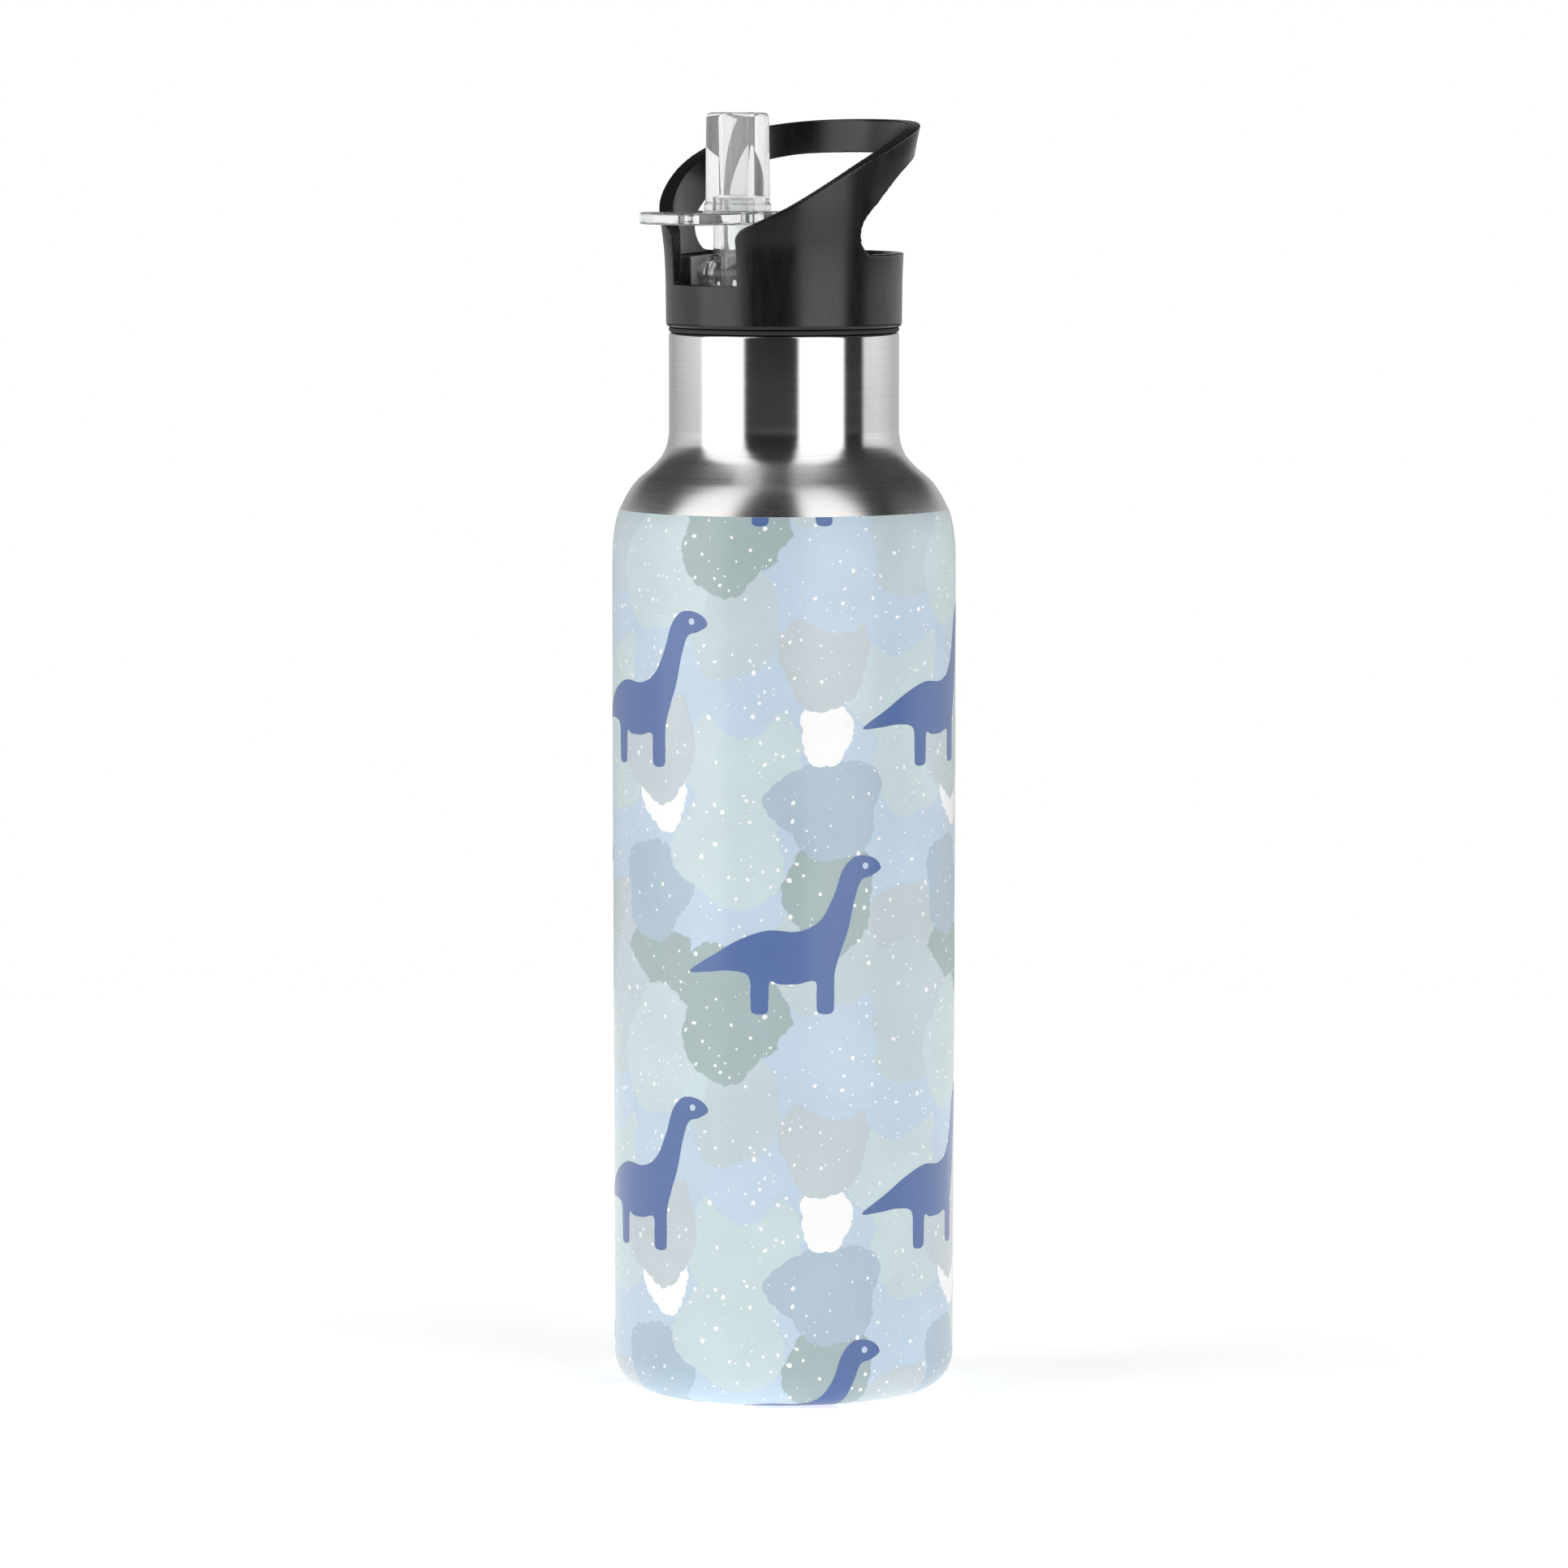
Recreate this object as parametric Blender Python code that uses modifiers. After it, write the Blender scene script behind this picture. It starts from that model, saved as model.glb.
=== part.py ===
"""Insulated kids water bottle with a screw-in straw lid, carry loop and flip spout.

Frame: metres, +Z up, origin on the bottle's axis at the standing face.
-Y is the front of the lid (the side the thumb tab points to), +Y is the loop
side, X is across the lid.  Every solid keeps a small gap to its neighbours.
"""
import math

import bmesh
import bpy
from mathutils import Matrix, Vector

MM = 0.001

# ----------------------------------------------------------------- dimensions
SEG = 40                    # facets round a large turned part
LID_SEG = 56                # facets round the lid
BODY_R = 36.6               # body radius at its widest, 73 mm across
BASE_R = 36.2               # body radius near the base
BASE_CORNER = 8.0           # rounding between side wall and base
SHEET = 0.6                 # stainless sheet thickness
BASE_SPLIT = 12.0           # height of the base cup's weld line
NECK_R = 24.5               # outside of the bare neck
NECK_TOP = 225.8            # top of the drinking lip
LINER_R = 33.2              # inside of the liner
MOUTH_R = 22.05             # inside of the mouth
FLOOR_Z = 7.0               # inside floor of the bottle

LID_Z = 227.0               # bottom edge of the lid's shell
DECK_H = 14.9               # deck above the shell's bottom edge
RIM_LOW = 15.6              # rear rim, just above the deck
LID_TOP = 48.0              # blank height before the rim is cut
PIVOT_F = 13.6              # spout axis, forward of the bottle's axis
PIVOT_H = 11.3              # spout axis, above the shell's bottom edge
NOTCH_X = 9.6               # half width of the front notch
NOTCH_H = 9.2               # sill of the front notch
NOTCH_ROUND = 2.8           # rounding where the rim drops into the notch
TROUGH_X = 9.3              # half width of the trough the mouthpiece folds into
TROUGH_H = 4.6              # trough floor above the shell's bottom edge
TROUGH_END = 22.0           # rear end of the trough
CRADLE_X = 10.4             # inner face of the hinge cradle's cheeks
CHEEK = 1.5                 # cheek thickness
CRADLE_FRONT, CRADLE_REAR = -17.2, -8.8

BARREL_R = 4.4              # spout's hinge barrel
BARREL_X = 6.4              # half length of the barrel
HUB_X, HUB_R = 10.1, 2.5    # slim hubs that reach the cradle's cheeks
BORE_R = 2.6                # drinking channel
TAB_LO, TAB_HI = 10.75, 13.35   # thumb tab, above the hinge axis
TAB_REACH = 21.6            # thumb tab, forward of the hinge axis
TAB_X = 8.8                 # half width of the thumb tab
SPIGOT = 2.6                # short spigot inside the mouthpiece's foot
MOUTH_TOP = 34.1            # top of the mouthpiece, above the hinge axis
PIN_R, PIN_HOLE_R = 1.6, 0.8
PIN_FIT = 0.07              # radial clearance round the pins, between facets

PLUG_R = 20.0               # plug's wall under its thread
PLUG_LO = 212.0             # underside of the plug's floor
FLANGE_R = 23.2             # plug flange, inside the lid's shell
PITCH = 4.0                 # thread pitch
THREAD_TURNS = 1.6

STRAW_R, STRAW_WALL = 3.35, 0.6
STRAW_END = 11.0

PY = -PIVOT_F               # the hinge axis in row coordinates, mm
PZ = LID_Z + PIVOT_H

# ------------------------------------------------------------------ the scene
for old in list(bpy.data.objects):
    bpy.data.objects.remove(old, do_unlink=True)
parts = bpy.data.collections.new("kids_water_bottle")
cutters = bpy.data.collections.new("cutters")
bpy.context.scene.collection.children.link(parts)
bpy.context.scene.collection.children.link(cutters)


def material(name, colour, roughness, metallic=0.0, alpha=1.0, transmission=0.0):
    m = bpy.data.materials.new(name)
    m.use_nodes = True
    b = m.node_tree.nodes["Principled BSDF"]
    b.inputs["Base Color"].default_value = (*colour, 1.0)
    b.inputs["Roughness"].default_value = roughness
    b.inputs["Metallic"].default_value = metallic
    b.inputs["Alpha"].default_value = alpha
    b.inputs["Transmission Weight"].default_value = transmission
    return m


STEEL = material("brushed_steel", (0.62, 0.61, 0.60), 0.28, 1.0)
PRINT = material("printed_coat", (0.62, 0.73, 0.82), 0.35)
LINER = material("liner_steel", (0.58, 0.58, 0.57), 0.4, 1.0)
BLACK = material("black_pp", (0.022, 0.022, 0.024), 0.42)
PLUG = material("plug_pp", (0.03, 0.03, 0.032), 0.5)
CRADLE = material("grey_acetal", (0.16, 0.165, 0.17), 0.4)
CLEAR = material("clear_tritan", (0.93, 0.95, 0.96), 0.05, transmission=0.9)
SOFT = material("clear_silicone", (0.90, 0.92, 0.93), 0.18, transmission=0.8)
SEAL = material("black_silicone", (0.03, 0.03, 0.03), 0.7)
WHITE_SEAL = material("white_silicone", (0.85, 0.86, 0.86), 0.6)
STRAW = material("straw_pp", (0.88, 0.90, 0.91), 0.3, transmission=0.4)
PIN = material("pin_steel", (0.70, 0.70, 0.71), 0.2, 1.0)
GETTER = material("getter_alloy", (0.35, 0.35, 0.37), 0.55, 1.0)
GLASS = material("seal_glass", (0.25, 0.35, 0.30), 0.15)
BASEFOIL = material("base_disc_steel", (0.66, 0.66, 0.66), 0.3, 1.0)


# ------------------------------------------------------------------ modelling
def obj_from_bmesh(name, bm, mat=None, cutter=False):
    mesh = bpy.data.meshes.new(name)
    bm.to_mesh(mesh)
    bm.free()
    obj = bpy.data.objects.new(name, mesh)
    (cutters if cutter else parts).objects.link(obj)
    if mat:
        mesh.materials.append(mat)
    if cutter:
        obj.hide_render = True
        obj.display_type = "WIRE"
    return obj


def turned(name, profile, mat=None, ring=True, cutter=False, seg=SEG, at=(0, 0, 0)):
    """A profile of (radius, height) in mm turned about Z.  It runs down its outer side."""
    bm = bmesh.new()
    vs = [bm.verts.new((r * MM, 0, z * MM)) for r, z in profile]
    for a, b in zip(vs, vs[1:]):
        bm.edges.new((a, b))
    if ring:
        bm.edges.new((vs[-1], vs[0]))
    obj = obj_from_bmesh(name, bm, mat, cutter)
    obj.location = Vector(at) * MM
    s = obj.modifiers.new("turn", "SCREW")
    s.steps = s.render_steps = seg
    s.use_merge_vertices = not ring
    s.merge_threshold = 1e-6
    s.use_smooth_shade = True
    return obj


def cylinder(name, r, lo, hi, axis="Z", at=(0, 0, 0), mat=None, cutter=False, seg=24, r2=None):
    """A round bar from lo to hi along an axis through at, in mm."""
    bm = bmesh.new()
    bmesh.ops.create_cone(bm, cap_ends=True, segments=seg, radius1=r * MM,
                          radius2=(r if r2 is None else r2) * MM, depth=(hi - lo) * MM)
    bmesh.ops.translate(bm, verts=bm.verts, vec=(0, 0, (lo + hi) / 2 * MM))
    if axis == "X":
        bmesh.ops.rotate(bm, verts=bm.verts, matrix=Matrix.Rotation(math.pi / 2, 3, "Y"))
    obj = obj_from_bmesh(name, bm, mat, cutter)
    obj.location = Vector(at) * MM
    return obj


def box(name, lo, hi, mat=None, cutter=False, round_z=0.0, seg=3):
    """A block between two corners in mm, its upright edges rounded by round_z."""
    bm = bmesh.new()
    bmesh.ops.create_cube(bm, size=1.0)
    size = [(b - a) * MM for a, b in zip(lo, hi)]
    bmesh.ops.scale(bm, verts=bm.verts, vec=size)
    bmesh.ops.translate(bm, verts=bm.verts, vec=[(a + b) / 2 * MM for a, b in zip(lo, hi)])
    if round_z:
        up = [e for e in bm.edges
              if abs(e.verts[0].co.x - e.verts[1].co.x) < 1e-7
              and abs(e.verts[0].co.y - e.verts[1].co.y) < 1e-7]
        bmesh.ops.bevel(bm, geom=up, offset=round_z * MM, segments=seg, profile=0.5,
                        affect="EDGES")
    return obj_from_bmesh(name, bm, mat, cutter)


def side_cut(name, outline, half):
    """An outline of (rearward, height) in mm, drawn in the YZ plane and extruded across X."""
    cu = bpy.data.curves.new(name + "_outline", "CURVE")
    cu.dimensions = "2D"
    cu.fill_mode = "BOTH"
    cu.extrude = half * MM
    sp = cu.splines.new("POLY")
    sp.points.add(len(outline) - 1)
    for p, (y, z) in zip(sp.points, outline):
        p.co = (y * MM, z * MM, 0, 1)
    sp.use_cyclic_u = True
    ob = bpy.data.objects.new(name + "_outline", cu)
    cutters.objects.link(ob)
    # the curve's own X, Y and Z become the row's Y, Z and X
    ob.matrix_world = Matrix(((0, 0, 1, 0), (1, 0, 0, 0), (0, 1, 0, 0), (0, 0, 0, 1)))
    return solid_from_curve(name, ob)


def solid_from_curve(name, ob, mat=None, cutter=True):
    """The curve's evaluated shape as a closed mesh object, which replaces the curve."""
    bpy.context.view_layer.update()
    graph = bpy.context.evaluated_depsgraph_get()
    mesh = bpy.data.meshes.new_from_object(ob.evaluated_get(graph))
    bm = bmesh.new()
    bm.from_mesh(mesh)
    bmesh.ops.remove_doubles(bm, verts=bm.verts, dist=1e-6)
    bmesh.ops.recalc_face_normals(bm, faces=bm.faces)
    bm.to_mesh(mesh)
    bm.free()
    mesh.name = name
    new = bpy.data.objects.new(name, mesh)
    (cutters if cutter else parts).objects.link(new)
    new.matrix_world = ob.matrix_world.copy()
    bpy.data.objects.remove(ob, do_unlink=True)
    if mat:
        mesh.materials.append(mat)
    if cutter:
        new.hide_render = True
        new.display_type = "WIRE"
    return new


def helix_bead(name, r, wire, z0, turns, start=0.0, taper=0.7):
    """A round bead wound on a helix, for a rolled or moulded thread. Its ends taper away."""
    cu = bpy.data.curves.new(name + "_path", "CURVE")
    cu.dimensions = "3D"
    cu.bevel_depth = wire * MM
    cu.bevel_resolution = 1
    cu.use_fill_caps = True
    n = int(turns * 20)
    sp = cu.splines.new("POLY")
    sp.points.add(n)
    for i in range(n + 1):
        t = i / n
        a = start + t * turns * 2 * math.pi
        end = min(1.0, t * turns / 0.12, (1 - t) * turns / 0.12)
        sp.points[i].co = (r * math.cos(a) * MM, r * math.sin(a) * MM,
                           (z0 + t * turns * PITCH) * MM, 1)
        sp.points[i].radius = taper + (1 - taper) * end
    ob = bpy.data.objects.new(name + "_path", cu)
    cutters.objects.link(ob)
    return solid_from_curve(name, ob)


def boolean(obj, other, operation):
    m = obj.modifiers.new(operation.lower() + "_" + other.name, "BOOLEAN")
    m.operation = operation
    m.object = other
    m.solver = "EXACT"
    return m


def cut(obj, *others):
    for o in others:
        boolean(obj, o, "DIFFERENCE")


def join(obj, *others):
    for o in others:
        boolean(obj, o, "UNION")


def oval_bar(name, rx, ry, lo, hi, at, mat=None, cutter=False, seg=32, top=1.0):
    """An oval bar along Z, with half widths rx and ry, its top scaled by top."""
    bm = bmesh.new()
    bmesh.ops.create_cone(bm, cap_ends=True, segments=seg, radius1=MM, radius2=MM * top,
                          depth=(hi - lo) * MM)
    bmesh.ops.scale(bm, verts=bm.verts, vec=(rx, ry, 1))
    bmesh.ops.translate(bm, verts=bm.verts, vec=(0, 0, (lo + hi) / 2 * MM))
    obj = obj_from_bmesh(name, bm, mat, cutter)
    obj.location = Vector(at) * MM
    return obj


# ----------------------------------------------------------- the steel bottle
# Outside of the neck, shoulder and body, from the lip down.
outer_line = [(24.2, NECK_TOP), (NECK_R, NECK_TOP - 0.4),
              (NECK_R, 204.6), (24.8, 202.6), (26.1, 199.6),
              (28.4, 196.8), (31.4, 193.9), (33.8, 190.7), (35.4, 187.0),
              (36.3, 182.8), (BODY_R, 177.0), (BASE_R, BASE_SPLIT + 0.2)]


def inset(line, d):
    """The same line moved inwards by d, along its own normals."""
    out = []
    for i, (r, z) in enumerate(line):
        a = line[max(0, i - 1)]
        b = line[min(len(line) - 1, i + 1)]
        dr, dz = b[0] - a[0], b[1] - a[1]
        n = math.hypot(dr, dz)
        out.append((r + dz / n * d, z - dr / n * d))
    return out


shell_in = inset(outer_line[1:], SHEET)
shell_in[0] = (NECK_R - SHEET, NECK_TOP - SHEET)
shell_in[-1] = (BASE_R - SHEET, BASE_SPLIT + 0.2)
outer_shell = turned(
    "outer_shell",
    [(22.85, NECK_TOP)] + outer_line + shell_in[::-1] + [(22.85, NECK_TOP - SHEET)],
    STEEL)

# The base cup closes the outer wall: rounded corner, standing ring, raised centre.
corner = [(BASE_R - BASE_CORNER + BASE_CORNER * math.cos(a), BASE_CORNER - BASE_CORNER * math.sin(a))
          for a in [math.pi / 2 * i / 4 for i in range(5)]]
corner_in = [(BASE_R - BASE_CORNER + (BASE_CORNER - SHEET) * math.cos(a),
              BASE_CORNER - (BASE_CORNER - SHEET) * math.sin(a))
             for a in [math.pi / 2 * i / 4 for i in range(5)]]
base_line = [(BASE_R, BASE_SPLIT)] + corner + [(20.6, 0.0), (19.6, 2.5), (1.3, 2.5)]
base_in = [(BASE_R - SHEET, BASE_SPLIT)] + corner_in + [(21.0, SHEET), (20.1, 2.5 + SHEET),
                                                       (1.3, 2.5 + SHEET)]
outer_base = turned("outer_base", base_line + base_in[::-1], STEEL)

# The solder-glass bead that closes the evacuation hole, and the disc that hides it.
turned("vacuum_seal_bead", [(0.0, 3.5), (1.0, 3.5), (1.0, 2.3), (2.5, 2.2), (2.1, 1.75), (0.0, 1.6)],
       GLASS, ring=False, seg=16)
turned("base_disc", [(0.0, 1.25), (18.9, 1.25), (18.9, 0.9), (18.4, 0.45), (0.0, 0.45)],
       BASEFOIL, ring=False, seg=SEG)
# The getter pellet in its pressed cup, in the vacuum space.
turned("getter_cup", [(9.2, 4.9), (9.2, 3.4), (5.4, 3.4), (5.4, 4.9), (5.8, 4.9), (5.8, 3.8),
                      (8.8, 3.8), (8.8, 4.9)][::1], GETTER, seg=24, at=(0, 0, 0))
turned("getter_pellet", [(8.5, 4.7), (8.5, 4.1), (6.1, 4.1), (6.1, 4.7)], GETTER, seg=24)

# The liner: mouth, rolled inside thread, shoulder and straight wall.
liner_in = [(MOUTH_R, NECK_TOP - 0.1), (MOUTH_R, 203.5), (22.9, 200.4), (25.2, 197.0),
            (28.4, 193.4), (31.0, 189.4), (32.6, 184.4), (LINER_R, 177.0), (LINER_R, 14.2)]
liner_out = inset(liner_in, -SHEET)
liner_out[0] = (MOUTH_R + SHEET, NECK_TOP - 0.1)
liner_out[-1] = (LINER_R + SHEET, 14.2)
inner_liner = turned("inner_liner", liner_out + liner_in[::-1], LINER)
liner_thread = helix_bead("liner_thread", MOUTH_R + 0.32, 0.95, 214.2, THREAD_TURNS, start=0.4)
join(inner_liner, liner_thread)

# The liner's dished base, welded to the liner's wall.
lc = 6.0
lb_in = [(LINER_R, 14.0)] + [
    (LINER_R - lc + lc * math.cos(a), FLOOR_Z + lc - lc * math.sin(a))
    for a in [math.pi / 2 * i / 4 for i in range(5)]] + [(0.0, FLOOR_Z)]
lb_out = [(LINER_R + SHEET, 14.0)] + [
    (LINER_R - lc + (lc + SHEET) * math.cos(a), FLOOR_Z + lc - (lc + SHEET) * math.sin(a))
    for a in [math.pi / 2 * i / 4 for i in range(5)]] + [(0.0, FLOOR_Z - SHEET)]
turned("liner_base", lb_in[::-1] + lb_out, LINER, ring=False)

# ------------------------------------------------------------- the lid's shell
# One moulding: flared wall, loop, deck, trough and hinge lugs.  Heights are
# above the shell's bottom edge until they are placed at LID_Z.
lid_out = [(29.8, LID_TOP), (29.2, 43.5), (28.3, 39.5), (27.6, 35.5), (27.0, 30.5),
           (26.6, 25.5), (26.05, 21.0), (25.5, 16.5), (25.2, 11.0), (25.1, 5.0), (25.1, 0.3),
           (24.8, 0.0)]
lid_in_top = [(0.0, DECK_H), (22.8, DECK_H), (23.3, 22.0), (24.0, 30.0), (24.9, 37.0),
              (26.0, 43.5), (26.6, LID_TOP)]
lid_in_low = [(FLANGE_R + 0.2, 0.0), (FLANGE_R + 0.2, 2.7), (22.6, 2.7), (22.6, DECK_H - 1.5),
              (0.0, DECK_H - 1.5)]
lid_shell = turned("lid_shell",
                   [(r, z + LID_Z) for r, z in lid_in_top + lid_out + lid_in_low],
                   BLACK, ring=False, seg=LID_SEG)

# The trough's block under the deck, before it is hollowed.
block = box("trough_block", (-CRADLE_X - CHEEK - 1.9, -23.4, LID_Z + TROUGH_H - 1.5),
            (CRADLE_X + CHEEK + 1.9, 22.9, LID_Z + DECK_H - 0.7), cutter=True)
block_round = cylinder("trough_round", 23.0, LID_Z, LID_Z + DECK_H, cutter=True, seg=LID_SEG)
boolean(block, block_round, "INTERSECT")
join(lid_shell, block)

# Hollow of the trough: hinge pocket in front, mouthpiece bed behind.
pocket = box("pocket_cut", (-CRADLE_X - CHEEK - 0.3, CRADLE_FRONT - 0.3, LID_Z + TROUGH_H),
             (CRADLE_X + CHEEK + 0.3, CRADLE_REAR + 0.3, LID_Z + 20.0), cutter=True)
relief = box("relief_cut", (-NOTCH_X - 0.6, -20.9, LID_Z + TROUGH_H + 0.2),
             (NOTCH_X + 0.6, -17.0, LID_Z + 19.6), cutter=True, round_z=0.5)
bed = box("bed_cut", (-TROUGH_X, -9.5, LID_Z + TROUGH_H + 0.1), (TROUGH_X, TROUGH_END, LID_Z + 21.0),
          cutter=True, round_z=2.2)
# Front notch through the wall.
notch = box("notch_cut", (-NOTCH_X, -40.0, LID_Z + NOTCH_H), (NOTCH_X, -16.9, LID_Z + 60.0),
            cutter=True)
cut(lid_shell, pocket, relief, bed, notch)


def along(line, x):
    """Height of a broken line of (x, height) at x."""
    for (x0, h0), (x1, h1) in zip(line, line[1:]):
        if x <= x1:
            return h0 + (h1 - h0) * (x - x0) / (x1 - x0)
    return line[-1][1]


# The rim sweeps up from the notch to the loop's top at the rear.  It is level
# along each radius, so its height depends only on the bearing round the lid.
rim = [(-27.0, 18.6), (-23.9, 21.0), (-20.5, 23.9), (-16.5, 26.7), (-12.4, 29.4),
       (-7.3, 32.5), (-2.6, 35.0), (2.2, 37.1), (7.3, 39.1), (12.0, 40.6), (17.0, 41.9),
       (22.0, 42.8), (26.0, 43.3), (30.0, 43.6)]
flare = [(z, r) for r, z in lid_out[::-1]]


def rim_height(bearing):
    """Height of the rim at a bearing from the rear, on the wall's outer face."""
    z = 30.0
    for _ in range(12):
        z = along(rim, along(flare, z) * math.cos(bearing))
    x = abs(along(flare, z) * math.sin(bearing)) - NOTCH_X
    if math.cos(bearing) < 0 and x < NOTCH_ROUND:
        z -= NOTCH_ROUND * (1 - math.sqrt(max(0.0, 1 - (1 - max(x, 0.0) / NOTCH_ROUND) ** 2)))
    return z


# Bearings every five degrees, and closer ones where the rim drops.
bearings = [0.0] + [math.radians(1.7 + 5 * k) for k in range(30)]
bearings += [math.radians(a) for a in (151.0, 153.6, 156.0, 157.6, 158.4)] + [math.pi]
bearings += [2 * math.pi - a for a in bearings[-2:0:-1]]
bm = bmesh.new()
rings = []
for a in bearings:
    h = rim_height(a)
    rings.append([bm.verts.new((r * math.sin(a) * MM, r * math.cos(a) * MM, (z + LID_Z) * MM))
                  for r, z in ((10.0, h), (40.0, h), (40.0, 70.0), (10.0, 70.0))])
for p, q in zip(rings, rings[1:] + rings[:1]):
    for i in range(4):
        bm.faces.new((p[i], p[(i + 1) % 4], q[(i + 1) % 4], q[i]))
bmesh.ops.recalc_face_normals(bm, faces=bm.faces)
rim_cut = obj_from_bmesh("rim_cut", bm, cutter=True)
cut(lid_shell, rim_cut)

# The finger opening leaves a band at the rear as the carry loop.
finger = [(40.0, RIM_LOW), (2.8, RIM_LOW), (1.0, 15.9), (-0.2, 16.8), (-1.2, 18.3), (-1.7, 19.8),
          (-1.75, 21.2), (-1.3, 22.8), (-0.3, 24.2), (0.6, 25.2), (2.8, 27.2), (5.3, 29.3),
          (11.0, 33.1), (14.2, 34.5), (17.0, 35.3), (20.5, 36.0), (25.0, 36.4), (40.0, 36.6)]
FINGER_FLARE = 2.5          # the opening's front edge lies further forward inside
sections = ((-40.0, 0.0), (-26.3, 0.0), (-23.3, 1.0), (23.3, 1.0), (26.3, 0.0), (40.0, 0.0))
bm = bmesh.new()
rings = []
for x, flared in sections:
    rings.append([bm.verts.new((x * MM, (y - flared * FINGER_FLARE * max(0.0, min(1.0, (12.0 - y) / 9.0))) * MM,
                                (z + LID_Z) * MM)) for y, z in finger])
for p, q in zip(rings, rings[1:]):
    for i in range(len(p)):
        k = (i + 1) % len(p)
        bm.faces.new((p[i], p[k], q[k], q[i]))
bm.faces.new(rings[0])
bm.faces.new(rings[-1])
bmesh.ops.recalc_face_normals(bm, faces=bm.faces)
finger_cut = obj_from_bmesh("finger_cut", bm, cutter=True)
cut(lid_shell, finger_cut)

# The port through the pocket's floor.
port_hole = cylinder("port_hole", 4.8, LID_Z, LID_Z + TROUGH_H + 0.5, at=(0, PY, 0), cutter=True, seg=28)
cut(lid_shell, port_hole)

# ---------------------------------------------------------- the hinge cradle
# A U-shaped insert in the pocket; its cheeks carry the pins.
c_lo, c_floor, c_hi = LID_Z + TROUGH_H + 0.3, LID_Z + 6.2, LID_Z + DECK_H
cradle_side = [(CRADLE_REAR, c_lo), (CRADLE_REAR, c_hi - 1.2), (CRADLE_REAR - 1.2, c_hi),
               (CRADLE_FRONT + 1.2, c_hi), (CRADLE_FRONT, c_hi - 1.2), (CRADLE_FRONT, c_lo + 2.6),
               (CRADLE_FRONT + 0.8, c_lo + 0.8), (CRADLE_FRONT + 2.6, c_lo)]
cradle = side_cut("hinge_cradle", cradle_side, CRADLE_X + CHEEK)
cutters.objects.unlink(cradle)
parts.objects.link(cradle)
cradle.hide_render = False
cradle.display_type = "TEXTURED"
cradle.data.materials.append(CRADLE)
between = box("cradle_room", (-CRADLE_X, CRADLE_FRONT - 2, c_floor), (CRADLE_X, CRADLE_REAR + 2, c_hi + 2),
              cutter=True)
pin_holes = cylinder("pin_holes", PIN_R + PIN_FIT, -13.0, 13.0, axis="X", at=(0, PY, PZ), cutter=True)
seal_hole = cylinder("seal_hole", 4.8, LID_Z, LID_Z + 8.0, at=(0, PY, 0), cutter=True, seg=28)
cut(cradle, between, pin_holes, seal_hole)

# ------------------------------------------------------------- the lid's plug
z0 = LID_Z - 0.4            # underside of the flange, on the gasket
plug_line = [(18.1, z0 + 2.4), (FLANGE_R, z0 + 2.4), (FLANGE_R, z0), (PLUG_R, z0), (PLUG_R, PLUG_LO + 1.0),
             (PLUG_R - 1.0, PLUG_LO), (0.0, PLUG_LO)]
plug_in = [(0.0, PLUG_LO + 2.0), (18.1, PLUG_LO + 2.0)]
lid_plug = turned("lid_plug", plug_in + plug_line, PLUG, ring=False)
plug_thread = helix_bead("plug_thread", PLUG_R + 0.15, 0.95, 216.0, THREAD_TURNS, start=2.2)
port_tube = cylinder("port_tube", 4.4, PLUG_LO + 1.0, LID_Z + TROUGH_H - 0.2, at=(0, PY, 0), cutter=True, seg=28)
nipple = cylinder("nipple", 3.3, PLUG_LO - 9.0, PLUG_LO + 1.5, at=(0, PY, 0), cutter=True, seg=24)
port_bore = cylinder("port_bore", BORE_R, PLUG_LO - 12.0, LID_Z + 12.0, at=(0, PY, 0), cutter=True, seg=20)
VENT_Y = 10.5
vent_hole = cylinder("vent_hole", 1.35, PLUG_LO - 3.0, PLUG_LO + 4.0, at=(0, VENT_Y, 0), cutter=True, seg=16)
join(lid_plug, plug_thread, port_tube, nipple)
cut(lid_plug, port_bore, vent_hole)

# Ring gasket between the plug's flange and the drinking lip.
turned("lid_gasket", [(24.5, z0 - 0.1), (24.6, z0 - 0.3), (24.5, z0 - 0.65), (21.2, z0 - 0.7), (20.35, z0 - 1.6),
                      (20.25, z0 - 1.6), (20.25, z0 - 0.1)], SEAL)

# Umbrella valve that lets air in as the child drinks.
turned("vent_valve", [(0.0, PLUG_LO + 4.0), (0.9, PLUG_LO + 3.6), (1.9, PLUG_LO + 2.3), (1.1, PLUG_LO + 2.15),
                      (1.1, PLUG_LO - 0.15), (4.0, PLUG_LO - 0.25), (3.7, PLUG_LO - 0.8), (1.6, PLUG_LO - 1.4),
                      (0.0, PLUG_LO - 1.5)], WHITE_SEAL, ring=False, seg=20, at=(0, VENT_Y, 0))

# Saddle seal between the port and the spout's barrel.
port_seal = cylinder("port_seal", 4.5, LID_Z + TROUGH_H - 0.05, PZ - 4.4, at=(0, PY, 0), mat=WHITE_SEAL, seg=28)
barrel_room = cylinder("barrel_room", BARREL_R + 0.12, -12, 12, axis="X", at=(0, PY, PZ), cutter=True, seg=40)
seal_bore = cylinder("seal_bore", BORE_R, LID_Z - 2.0, PZ, at=(0, PY, 0), cutter=True, seg=20)
cut(port_seal, barrel_room, seal_bore)

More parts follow.
